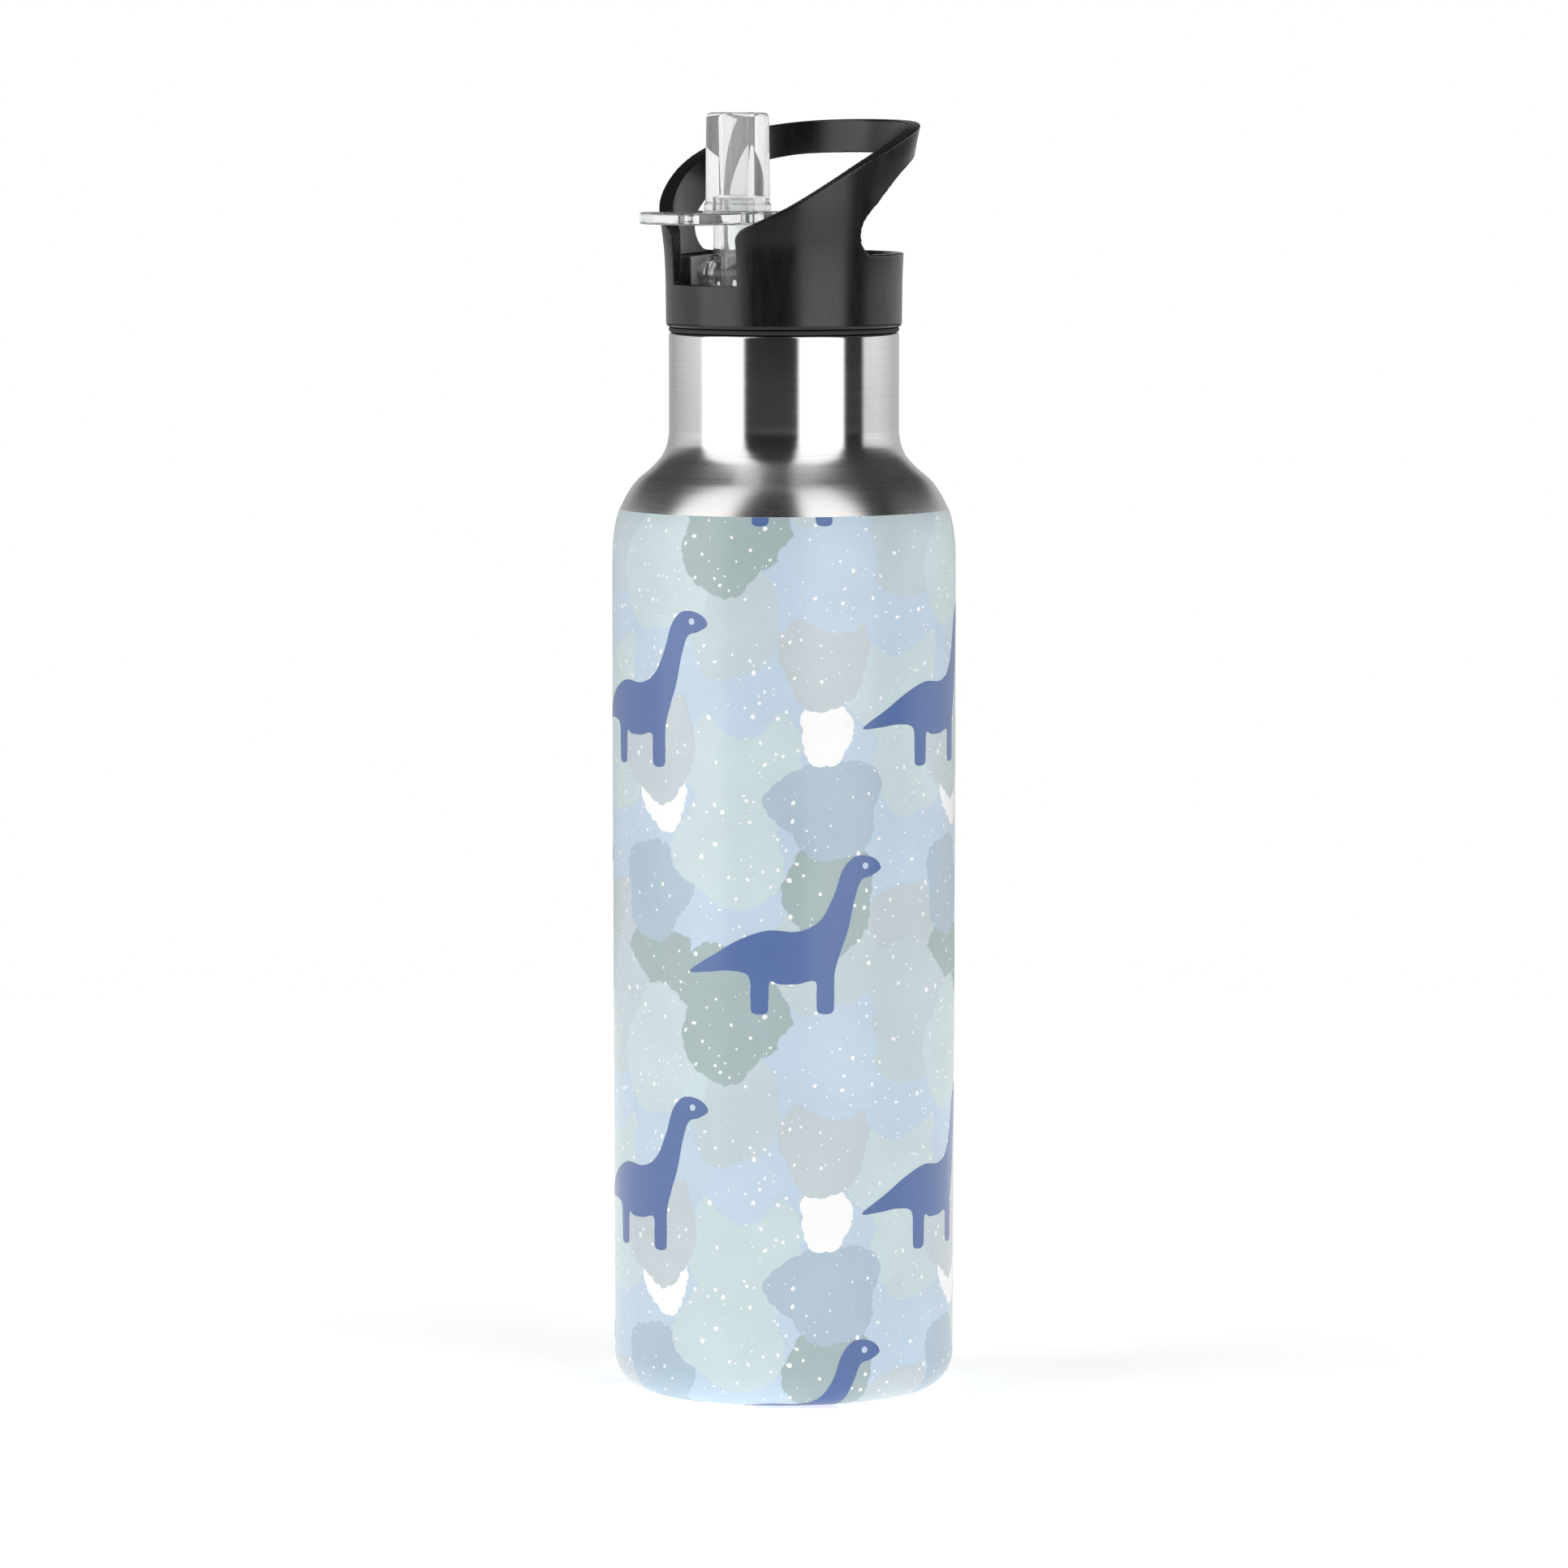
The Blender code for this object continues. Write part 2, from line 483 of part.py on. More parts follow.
# ------------------------------------------------------------------ the straw
collar_lo, collar_hi = PLUG_LO - 17.0, PLUG_LO - 0.5
turned("straw_collar", [(4.6, collar_hi), (4.7, collar_hi - 1.0), (4.7, collar_lo + 1.0), (4.5, collar_lo),
                        (STRAW_R + 0.1, collar_lo), (STRAW_R + 0.1, collar_hi)],
       WHITE_SEAL, seg=24, at=(0, PY, 0))
straw = turned("straw", [(STRAW_R, PLUG_LO - 9.4), (STRAW_R, STRAW_END - 1.0), (STRAW_R - STRAW_WALL, STRAW_END - 1.0),
                         (STRAW_R - STRAW_WALL, PLUG_LO - 9.4)], STRAW, seg=20, at=(0, PY, 0))
# The foot of the straw is cut at a slant, so that it can't seal on the floor.
straw_cut = side_cut("straw_cut", [(PY - 8, STRAW_END - 4), (PY + 8, STRAW_END - 4), (PY + 8, STRAW_END - 0.2),
                                   (PY - 8, STRAW_END + 5.4)], 8.0)
cut(straw, straw_cut)

# ------------------------------------------------------------------ the spout
# Built upright about its hinge axis; its empty sits on that axis.
hinge = bpy.data.objects.new("spout_hinge", None)
parts.objects.link(hinge)
hinge.location = (0, PY * MM, PZ * MM)

spout = cylinder("spout_body", BARREL_R, -BARREL_X, BARREL_X, axis="X", mat=CLEAR, seg=36)
leg = oval_bar("leg", 6.0, 4.2, 0.0, TAB_HI - 0.4, (0, 0, 0), cutter=True, seg=28)
hubs = cylinder("hubs", HUB_R, -HUB_X, HUB_X, axis="X", cutter=True, seg=28)
tab = box("tab", (-TAB_X, -TAB_REACH, TAB_LO), (TAB_X, 6.2, TAB_HI), cutter=True, round_z=2.0)
spigot = cylinder("spigot", 4.0, TAB_HI - 1.0, TAB_HI + SPIGOT, cutter=True, seg=28)
channel = cylinder("channel", BORE_R, -8.0, 30.0, cutter=True, seg=20)
sockets = [cylinder("socket_left", PIN_R + PIN_FIT, -12.0, -4.2, axis="X", cutter=True, seg=24),
           cylinder("socket_right", PIN_R + PIN_FIT, 4.2, 12.0, axis="X", cutter=True, seg=24)]
join(spout, hubs, leg, tab, spigot)
cut(spout, channel, *sockets)
mouthpiece = oval_bar("mouthpiece", 7.5, 6.2, TAB_HI + 0.15, MOUTH_TOP, (0, 0, 0), mat=SOFT, seg=40, top=0.97)
collar = oval_bar("mouthpiece_flange", 8.1, 6.3, TAB_HI + 0.15, TAB_HI + 1.4, (0, 0, 0), cutter=True, seg=40)
seat = cylinder("spigot_room", 4.15, TAB_HI - 1.0, TAB_HI + SPIGOT + 0.3, cutter=True, seg=28)
sip = cylinder("sip_bore", BORE_R + 0.2, TAB_HI, MOUTH_TOP + 4.0, cutter=True, seg=24)
join(mouthpiece, collar)
cut(mouthpiece, seat, sip)
for o in (spout, hubs, leg, tab, spigot, channel, mouthpiece, collar, seat, sip, *sockets):
    o.parent = hinge

# Two short hollow pins through the cradle's cheeks carry the barrel.
for side, name in ((-1, "hinge_pin_left"), (1, "hinge_pin_right")):
    a, b = sorted((side * 4.6, side * (CRADLE_X + CHEEK - 0.1)))
    pin = cylinder(name, PIN_R, a, b, axis="X", at=(0, PY, PZ), mat=PIN, seg=24)
    hollow = cylinder(name + "_hollow", PIN_HOLE_R, a - 1, b + 1, axis="X", at=(0, PY, PZ), cutter=True, seg=12)
    cut(pin, hollow)

# Round pieces are shaded smooth up to their real edges.
bpy.context.view_layer.update()
for o in parts.objects:
    if o.type == "MESH":
        o.data.shade_smooth()
        o.data.set_sharp_from_angle(angle=math.radians(35))
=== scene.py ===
"""Looks for the kids water bottle: fine turned and moulded surfaces, a printed coat, and studio light."""
import math
import random

import bmesh
import bpy
import numpy as np
from mathutils import Matrix, Vector
from mathutils.geometry import tessellate_polygon


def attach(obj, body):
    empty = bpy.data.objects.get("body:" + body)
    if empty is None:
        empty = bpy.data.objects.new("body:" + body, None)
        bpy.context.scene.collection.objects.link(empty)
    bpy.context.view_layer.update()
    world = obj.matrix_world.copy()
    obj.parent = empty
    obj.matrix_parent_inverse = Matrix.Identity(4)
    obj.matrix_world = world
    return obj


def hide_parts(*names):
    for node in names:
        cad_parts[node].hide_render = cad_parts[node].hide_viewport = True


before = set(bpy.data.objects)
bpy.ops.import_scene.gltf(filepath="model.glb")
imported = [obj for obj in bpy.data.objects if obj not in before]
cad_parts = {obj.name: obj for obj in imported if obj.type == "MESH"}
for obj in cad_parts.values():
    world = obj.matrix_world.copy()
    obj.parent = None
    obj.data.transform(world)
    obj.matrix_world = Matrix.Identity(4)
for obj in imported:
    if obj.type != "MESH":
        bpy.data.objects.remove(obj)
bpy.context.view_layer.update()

MM = 0.001
AZ = math.radians(46.0)             # the camera stands here, from the front towards +X
HOME = AZ - math.pi / 2             # the same bearing as an angle from +X

# ------------------------------------------------------------------ materials


class Nodes:
    """A short way to build a node material."""

    def __init__(self, name):
        self.m = bpy.data.materials.new(name)
        self.m.use_nodes = True
        self.t = self.m.node_tree
        self.b = self.t.nodes["Principled BSDF"]
        self.out = self.t.nodes["Material Output"]

    def add(self, kind, **values):
        n = self.t.nodes.new(kind)
        for k, v in values.items():
            if hasattr(n, k):
                setattr(n, k, v)
            else:
                n.inputs[k.replace("_", " ")].default_value = v
        return n

    def link(self, a, b):
        self.t.links.new(a, b)

    def set(self, **values):
        for k, v in values.items():
            self.b.inputs[k.replace("_", " ")].default_value = v
        return self

    def coords(self, scale=(1, 1, 1), loc=(0, 0, 0)):
        c = self.add("ShaderNodeTexCoord")
        m = self.add("ShaderNodeMapping")
        m.inputs["Scale"].default_value = scale
        m.inputs["Location"].default_value = loc
        self.link(c.outputs["Object"], m.inputs["Vector"])
        return m.outputs["Vector"]

    def noise(self, vec, scale, detail=4.0, rough=0.55, distortion=0.0):
        n = self.add("ShaderNodeTexNoise")
        n.inputs["Scale"].default_value = scale
        n.inputs["Detail"].default_value = detail
        n.inputs["Roughness"].default_value = rough
        n.inputs["Distortion"].default_value = distortion
        self.link(vec, n.inputs["Vector"])
        return n.outputs["Fac"]

    def ramp(self, fac, stops):
        n = self.add("ShaderNodeValToRGB")
        e = n.color_ramp.elements
        while len(e) < len(stops):
            e.new(0.5)
        for i, (p, c) in enumerate(stops):
            e[i].position = p
            e[i].color = (*c, 1.0) if not isinstance(c, (int, float)) else (c, c, c, 1.0)
        self.link(fac, n.inputs["Fac"])
        return n.outputs["Color"]

    def span(self, fac, lo, hi, a=0.0, b=1.0):
        n = self.add("ShaderNodeMapRange")
        n.inputs["From Min"].default_value = a
        n.inputs["From Max"].default_value = b
        n.inputs["To Min"].default_value = lo
        n.inputs["To Max"].default_value = hi
        self.link(fac, n.inputs["Value"])
        return n.outputs["Result"]

    def maths(self, op, a, b=None):
        n = self.add("ShaderNodeMath", operation=op)
        for i, v in enumerate((a, b)):
            if v is None:
                continue
            if isinstance(v, (int, float)):
                n.inputs[i].default_value = v
            else:
                self.link(v, n.inputs[i])
        return n.outputs[0]

    def bump(self, height, strength, distance):
        n = self.add("ShaderNodeBump")
        n.inputs["Strength"].default_value = strength
        n.inputs["Distance"].default_value = distance
        self.link(height, n.inputs["Height"])
        self.link(n.outputs["Normal"], self.b.inputs["Normal"])
        return n

    def tint(self, fac, dark, light):
        n = self.add("ShaderNodeMix", data_type="RGBA")
        n.inputs["A"].default_value = (*dark, 1)
        n.inputs["B"].default_value = (*light, 1)
        for i in n.inputs:
            if i.name == "A" and i.type == "RGBA":
                i.default_value = (*dark, 1)
            if i.name == "B" and i.type == "RGBA":
                i.default_value = (*light, 1)
        self.link(fac, n.inputs["Factor"])
        return [o for o in n.outputs if o.type == "RGBA"][0]


def srgb(r, g, b):
    return tuple((c / 255 / 12.92) if c / 255 <= 0.04045 else ((c / 255 + 0.055) / 1.055) ** 2.4
                 for c in (r, g, b))


def brushed(name, colour=(0.60, 0.595, 0.59), rough=0.2, along="Z", grain=1.0, aniso=0.75, polish=None,
            contrast=1.0):
    """Turned and brushed stainless: fine rings round the axis, faint handling marks."""
    n = Nodes(name)
    n.set(Metallic=1.0, Anisotropic=aniso)
    n.b.inputs["Anisotropic Rotation"].default_value = 0.25
    tan = n.add("ShaderNodeTangent", direction_type="RADIAL", axis=along)
    n.link(tan.outputs["Tangent"], n.b.inputs["Tangent"])
    fine = (60, 60, 5200) if along == "Z" else (5200, 60, 60)
    coarse = (25, 25, 1500) if along == "Z" else (1500, 25, 25)
    f1 = n.noise(n.coords(fine), 1.0, 3.0)
    f2 = n.noise(n.coords(coarse), 1.0, 2.0)
    marks = n.noise(n.coords((45, 45, 30)), 1.0, 5.0, 0.6)
    lines = n.maths("ADD", n.maths("MULTIPLY", f1, 0.6), n.maths("MULTIPLY", f2, 0.4))
    n.link(n.tint(n.span(lines, 0, 1, 0.3, 0.7), [c * (1 - 0.2 * contrast) for c in colour],
                  [min(1, c * (1 + 0.14 * contrast)) for c in colour]),
           n.b.inputs["Base Color"])
    r = n.maths("ADD", n.span(lines, rough * (1 - 0.2 * contrast), rough * (1 + 0.25 * contrast), 0.3, 0.7),
                n.span(marks, -0.03 * contrast, 0.05 * contrast, 0.35, 0.7))
    if polish:
        # finer above a height: (roughness factor, from m, to m)
        z = n.add("ShaderNodeSeparateXYZ")
        n.link(n.coords(), z.inputs[0])
        r = n.maths("MULTIPLY", r, n.span(z.outputs["Z"], 1.0, polish[0], polish[1], polish[2]))
    n.link(r, n.b.inputs["Roughness"])
    n.bump(lines, 0.12 * grain, 0.00002)
    return n.m


def moulded(name, colour, rough=0.42, spec=0.5, grain=0.5, scale=2600.0):
    """Moulded plastic: a fine spark-eroded grain, slow flow marks and light scuffs."""
    n = Nodes(name)
    n.b.inputs["Specular IOR Level"].default_value = spec
    fine = n.noise(n.coords((scale, scale, scale)), 1.0, 3.0, 0.6)
    flow = n.noise(n.coords((55, 55, 38)), 1.0, 4.0, 0.5, 0.4)
    scuff = n.noise(n.coords((520, 520, 90)), 1.0, 6.0, 0.7)
    n.link(n.tint(n.span(flow, 0, 1, 0.3, 0.7), [c * 0.88 for c in colour], [c * 1.15 for c in colour]),
           n.b.inputs["Base Color"])
    r = n.maths("ADD", n.span(flow, rough - 0.035, rough + 0.035, 0.3, 0.7), n.span(scuff, -0.05, 0.06, 0.3, 0.75))
    n.link(r, n.b.inputs["Roughness"])
    n.bump(fine, grain, 0.00003)
    return n.m


def clear(name, colour=(0.97, 0.985, 0.99), rough=0.03, ior=1.50, grain=0.15, through=1.0):
    """A clear moulding with faint flow lines."""
    n = Nodes(name)
    n.set(IOR=ior)
    n.b.inputs["Transmission Weight"].default_value = through
    flow = n.noise(n.coords((240, 240, 60)), 1.0, 3.0, 0.5, 0.6)
    fine = n.noise(n.coords((1400, 1400, 700)), 1.0, 3.0, 0.6)
    n.link(n.tint(n.span(flow, 0, 1, 0.3, 0.7), [c * 0.97 for c in colour], colour), n.b.inputs["Base Color"])
    n.link(n.span(fine, max(0.0, rough - 0.015), rough + 0.03, 0.3, 0.75), n.b.inputs["Roughness"])
    n.bump(flow, grain, 0.0001)
    return n.m


def silicone(name, colour, rough=0.45, sub=0.15):
    n = Nodes(name)
    n.b.inputs["Subsurface Weight"].default_value = sub
    n.b.inputs["Subsurface Radius"].default_value = (0.002, 0.002, 0.002)
    n.b.inputs["Subsurface Scale"].default_value = 1.0
    fine = n.noise(n.coords((1900, 1900, 1900)), 1.0, 3.0, 0.6)
    dust = n.noise(n.coords((90, 90, 90)), 1.0, 5.0, 0.6)
    n.link(n.tint(n.span(dust, 0, 1, 0.35, 0.7), colour, [min(1, c * 1.12 + 0.01) for c in colour]),
           n.b.inputs["Base Color"])
    n.link(n.span(dust, rough - 0.05, rough + 0.08, 0.3, 0.7), n.b.inputs["Roughness"])
    n.bump(fine, 0.25, 0.00003)
    return n.m


def ink(name, colour, rough=0.34, mottle=0.035):
    """Printed ink under a clear satin coat: a faint mottle, fine coat texture, a few rubbed spots."""
    n = Nodes(name)
    n.b.inputs["Coat Weight"].default_value = 0.35
    n.b.inputs["Coat Roughness"].default_value = 0.16
    n.b.inputs["Specular IOR Level"].default_value = 0.35
    wash = n.noise(n.coords((60, 60, 60)), 1.0, 5.0, 0.6)
    dots = n.noise(n.coords((3000, 3000, 3000)), 1.0, 2.0, 0.5)
    both = n.maths("ADD", n.maths("MULTIPLY", wash, 0.75), n.maths("MULTIPLY", dots, 0.25))
    n.link(n.tint(n.span(both, 0, 1, 0.35, 0.65), [c * (1 - mottle * 1.6) for c in colour],
                  [min(1, c * (1 + mottle)) for c in colour]), n.b.inputs["Base Color"])
    rub = n.noise(n.coords((300, 300, 70)), 1.0, 6.0, 0.7)
    n.link(n.span(rub, rough - 0.04, rough + 0.07, 0.3, 0.75), n.b.inputs["Roughness"])
    peel = n.noise(n.coords((700, 700, 700)), 1.0, 2.0, 0.5)
    n.bump(peel, 0.06, 0.0001)
    return n.m


STEEL = brushed("bare_steel", rough=0.26, grain=0.1, aniso=0.9, polish=(0.6, 0.1985, 0.2025),
                contrast=0.4)
LINER = brushed("liner_steel", (0.56, 0.555, 0.55), rough=0.33, aniso=0.5)
DISC = brushed("disc_steel", (0.63, 0.63, 0.63), rough=0.26, aniso=0.4)
PIN = brushed("pin_steel", (0.72, 0.72, 0.73), rough=0.2, along="X", aniso=0.4)
GETTER = brushed("getter_metal", (0.42, 0.42, 0.43), rough=0.45, aniso=0.2)
LID = moulded("lid_plastic", (0.0032, 0.0032, 0.0035), rough=0.27, spec=0.5, grain=0.2)
PLUG = moulded("plug_plastic", (0.016, 0.016, 0.017), rough=0.46)
CRADLE = moulded("cradle_plastic", (0.60, 0.605, 0.61), rough=0.4, grain=0.3)
CLEAR = clear("spout_plastic", through=0.94)
SOFT = clear("mouthpiece_silicone", (0.975, 0.98, 0.983), rough=0.02, ior=1.38, grain=0.2, through=0.86)
STRAW = clear("straw_plastic", (0.90, 0.93, 0.94), rough=0.22, ior=1.49, grain=0.1)
GASKET = silicone("gasket_silicone", (0.006, 0.006, 0.006), 0.6, 0.0)
WHITE = silicone("white_silicone", (0.72, 0.74, 0.74), 0.5)
GLASS = clear("seal_glass", (0.35, 0.5, 0.42), rough=0.08, ior=1.52)

# ------------------------------------------------------------- finer surfaces


def make(name, verts, faces, mats, index=None, normals=None, smooth=True):
    me = bpy.data.meshes.new(name)
    me.from_pydata([tuple(v) for v in verts], [], [tuple(f) for f in faces])
    for m in mats if isinstance(mats, (list, tuple)) else [mats]:
        me.materials.append(m)
    if index is not None:
        me.polygons.foreach_set("material_index", index)
    if smooth:
        me.shade_smooth()
    me.update()
    if normals is not None:
        me.normals_split_custom_set_from_vertices([tuple(n) for n in normals])
    ob = bpy.data.objects.new(name, me)
    bpy.context.scene.collection.objects.link(ob)
    return ob


def round_corners(points, closed=True):
    """Profile points (r, z, fillet radius) in mm as a fine line: each corner becomes an arc."""
    out = []
    n = len(points)
    for i, p in enumerate(points):
        rad = p[2] if len(p) > 2 else 0.0
        if rad <= 0 or (not closed and i in (0, n - 1)):
            out.append((p[0], p[1]))
            continue
        a, b = Vector(points[i - 1][:2]), Vector(points[(i + 1) % n][:2])
        c = Vector(p[:2])
        u, v = (a - c).normalized(), (b - c).normalized()
        half = math.acos(max(-1.0, min(1.0, u.dot(v)))) / 2
        if half > math.radians(89):
            out.append((p[0], p[1]))
            continue
        t = min(rad / math.tan(half), (a - c).length * 0.48, (b - c).length * 0.48)
        rad = t * math.tan(half)
        mid = c + (u + v).normalized() * (rad / math.sin(half))
        s, e = c + u * t, c + v * t
        k = max(3, int((math.pi - 2 * half) / math.radians(14)) + 2)
        a0 = math.atan2(s.y - mid.y, s.x - mid.x)
        a1 = math.atan2(e.y - mid.y, e.x - mid.x)
        d = (a1 - a0 + math.pi) % (2 * math.pi) - math.pi
        for j in range(k):
            q = a0 + d * j / (k - 1)
            out.append((mid.x + rad * math.cos(q), mid.y + rad * math.sin(q)))
    return out


def turn(name, profile, mats, seg=192, closed=True, index=None, at=(0, 0), squeeze=(1.0, 1.0)):
    """A profile of (r, z) mm turned about Z. closed: the last point joins the first. r = 0 is a pole."""
    verts, rows = [], []
    for r, z in profile:
        if abs(r) < 1e-6:
            rows.append([len(verts)] * seg)
            verts.append((at[0] * MM, at[1] * MM, z * MM))
        else:
            rows.append(list(range(len(verts), len(verts) + seg)))
            for k in range(seg):
                a = 2 * math.pi * k / seg
                verts.append(((r * squeeze[0] * math.cos(a) + at[0]) * MM,
                              (r * squeeze[1] * math.sin(a) + at[1]) * MM, z * MM))
    faces, idx = [], []
    pairs = list(zip(rows, rows[1:])) + ([(rows[-1], rows[0])] if closed else [])
    for j, (p, q) in enumerate(pairs):
        for k in range(seg):
            f = []
            for v in (p[k], q[k], q[(k + 1) % seg], p[(k + 1) % seg]):
                if v not in f:
                    f.append(v)
            if len(f) > 2:
                faces.append(f)
                idx.append(index(j) if index else 0)
    ob = make(name, verts, faces, mats, idx)
    bm = bmesh.new()
    bm.from_mesh(ob.data)
    bmesh.ops.recalc_face_normals(bm, faces=bm.faces)
    bm.to_mesh(ob.data)
    bm.free()
    ob.data.set_sharp_from_angle(angle=math.radians(38))
    return ob


def bar(name, r, lo, hi, axis="Z", at=(0, 0, 0), seg=96, squeeze=(1, 1), edge=0.0, top=1.0):
    """A round or oval bar, its end edges rounded by edge, as a scratch solid."""
    prof = [(0, hi), (r * top, hi, edge), (r, lo, edge), (0, lo)]
    ob = turn(name, round_corners(prof, closed=False), [], seg, closed=False, squeeze=squeeze)
    if axis == "X":
        ob.data.transform(Matrix.Rotation(math.pi / 2, 4, "Y"))
    ob.data.transform(Matrix.Translation(Vector(at) * MM))
    return ob


def block(name, lo, hi, round_z=0.0, edge=0.0):
    """A block between two corners, upright edges rounded by round_z, all others by edge."""
    bm = bmesh.new()
    bmesh.ops.create_cube(bm, size=1.0)
    bmesh.ops.scale(bm, verts=bm.verts, vec=[(b - a) * MM for a, b in zip(lo, hi)])
    bmesh.ops.translate(bm, verts=bm.verts, vec=[(a + b) / 2 * MM for a, b in zip(lo, hi)])
    if round_z:
        up = [e for e in bm.edges if abs(e.verts[0].co.x - e.verts[1].co.x) < 1e-7
              and abs(e.verts[0].co.y - e.verts[1].co.y) < 1e-7]
        bmesh.ops.bevel(bm, geom=up, offset=round_z * MM, segments=8, profile=0.5, affect="EDGES")
    if edge:
        rest = [e for e in bm.edges if e.calc_face_angle(0) > math.radians(40)]
        bmesh.ops.bevel(bm, geom=rest, offset=edge * MM, segments=4, profile=0.5, affect="EDGES")
    me = bpy.data.meshes.new(name)
    bm.to_mesh(me)
    bm.free()
    ob = bpy.data.objects.new(name, me)
    bpy.context.scene.collection.objects.link(ob)
    return ob


def prism(name, outline, half):
    """An outline of (y, z) mm made solid from x = -half to half."""
    n = len(outline)
    verts = [(s * half * MM, y * MM, z * MM) for s in (-1, 1) for y, z in outline]
    faces = [tuple(range(n))[::-1], tuple(range(n, 2 * n))]
    faces += [(i, (i + 1) % n, n + (i + 1) % n, n + i) for i in range(n)]
    ob = make(name, verts, faces, [], smooth=False)
    bm = bmesh.new()
    bm.from_mesh(ob.data)
    bmesh.ops.recalc_face_normals(bm, faces=bm.faces)
    bm.to_mesh(ob.data)
    bm.free()
    return ob


def catmull(points, per=8, closed=True):
    """A smooth line through points."""
    out = []
    n = len(points)
    last = n if closed else n - 1
    for i in range(last):
        p = [Vector(points[(i + k) % n] if closed else points[max(0, min(n - 1, i + k))]) for k in (-1, 0, 1, 2)]
        for j in range(per):
            t = j / per
            q = 0.5 * ((2 * p[1]) + (p[2] - p[0]) * t + (2 * p[0] - 5 * p[1] + 4 * p[2] - p[3]) * t * t
                       + (3 * p[1] - p[0] - 3 * p[2] + p[3]) * t ** 3)
            out.append(tuple(q))
    if not closed:
        out.append(tuple(points[-1]))
    return out


def carve(name, base, steps, mats, voxel=0.0, smooth=0, smooth_factor=0.5):
    """Booleans on a scratch solid, then an even skin whose edges are softened; all scratch solids go."""
    for op, other in steps:
        m = base.modifiers.new("cut", "BOOLEAN")
        m.operation = op
        m.object = other
        m.solver = "EXACT"
    if voxel:
        m = base.modifiers.new("skin", "REMESH")
        m.mode = "VOXEL"
        m.voxel_size = voxel * MM
        m.use_smooth_shade = True
        m = base.modifiers.new("soften", "SMOOTH")
        m.factor = smooth_factor
        m.iterations = smooth
    bpy.context.view_layer.update()
    dg = bpy.context.evaluated_depsgraph_get()
    me = bpy.data.meshes.new_from_object(base.evaluated_get(dg), depsgraph=dg)
    me.name = name
    me.materials.clear()
    for m in mats if isinstance(mats, (list, tuple)) else [mats]:
        me.materials.append(m)
    me.polygons.foreach_set("material_index", [0] * len(me.polygons))
    me.shade_smooth()
    if not voxel:
        me.set_sharp_from_angle(angle=math.radians(35))
    ob = bpy.data.objects.new(name, me)
    bpy.context.scene.collection.objects.link(ob)
    for o in [base] + [o for _, o in steps]:
        if o.name in bpy.data.objects:
            bpy.data.objects.remove(o, do_unlink=True)
    return ob


def place(ob, body, *nodes, slot=None):
    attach(ob, body)
    if nodes:
        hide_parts(*nodes)
    return ob


# ------------------------------------------------------------ the outer wall
SHEET = 0.6
LIP = 225.8
COAT_TOP = 188.3
wall = [(24.45, 206.0), (24.46, 204.6), (24.62, 203.2), (25.0, 201.5), (25.9, 199.5), (27.3, 197.8),
        (29.1, 196.1), (30.9, 194.6), (32.4, 192.8), (33.7, 190.7), (34.75, 188.5), (35.5, 186.3),
        (36.0, 183.8), (36.3, 181.0), (36.42, 177.6), (36.45, 172.0)]
wall = catmull(wall, 5, closed=False)
wall = [(24.45, LIP - 0.7), (24.45, 214.0)] + wall + [(36.45, 140.0), (36.05, 12.3)]
lip = [(24.45 - 0.55 + 0.55 * math.sin(a), LIP - 0.05 - 0.55 + 0.55 * math.cos(a))
       for a in [math.pi / 2 * i / 6 for i in range(6)]]


def inset(line, d):
    out = []
    for i, (r, z) in enumerate(line):
        a, b = line[max(0, i - 1)], line[min(len(line) - 1, i + 1)]
        dr, dz = b[0] - a[0], b[1] - a[1]
        n = math.hypot(dr, dz)
        out.append((r + dz / n * d, z - dr / n * d))
    return out


inner = inset(wall, SHEET)
outer_prof = [(22.9, LIP - 0.05)] + lip + wall + inner[::-1] + [(22.9, LIP - SHEET)]
shell = place(turn("steel_outer_wall", outer_prof, STEEL, seg=240), "bottle", "outer_shell", slot="outer_steel")

BC = 8.0
base_out = [(36.05, 12.1)] + [(36.05 - BC + BC * math.cos(a), BC - BC * math.sin(a))
                             for a in [math.pi / 2 * i / 14 for i in range(15)]]
base_in = inset(base_out, SHEET)
base_prof = round_corners(
    [(r, z) for r, z in base_out] + [(20.8, 0.0, 0.8), (19.6, 2.5, 0.8), (1.3, 2.5)]
    + [(1.3, 2.5 + SHEET), (20.0, 2.5 + SHEET, 0.4), (21.2, SHEET, 0.4)] + base_in[::-1])
cup = place(turn("steel_base_cup", base_prof, STEEL, seg=240), "bottle", "outer_base", slot="printed_base")

# ------------------------------------------------------------ the printed coat
R0 = 36.45
COAT = 0.06
coat_line = [p for p in wall if p[1] <= COAT_TOP]
top_i = [i for i, p in enumerate(wall) if p[1] <= COAT_TOP][0]
a, b = wall[top_i - 1], wall[top_i]
f = (a[1] - COAT_TOP) / (a[1] - b[1])
coat_line = [(a[0] + (b[0] - a[0]) * f, COAT_TOP)] + coat_line[:-1] + base_out[1:-1]
# v is the distance along this line, and equals the height at z = 100
dist = [0.0]
for p, q in zip(coat_line, coat_line[1:]):
    dist.append(dist[-1] + math.hypot(q[0] - p[0], q[1] - p[1]))
at100 = None
for i, (p, q) in enumerate(zip(coat_line, coat_line[1:])):
    if p[1] >= 100.0 >= q[1]:
        at100 = dist[i] + (dist[i + 1] - dist[i]) * (p[1] - 100.0) / (p[1] - q[1])
V = [100.0 + at100 - d for d in dist]           # falls from the coat's top to its lower edge
NORM = []
for i in range(len(coat_line)):
    p, q = coat_line[max(0, i - 1)], coat_line[min(len(coat_line) - 1, i + 1)]
    dr, dz = q[0] - p[0], q[1] - p[1]
    n = math.hypot(dr, dz)
    NORM.append((-dz / n, dr / n))
SECT = 180
STEP = 2 * math.pi / SECT


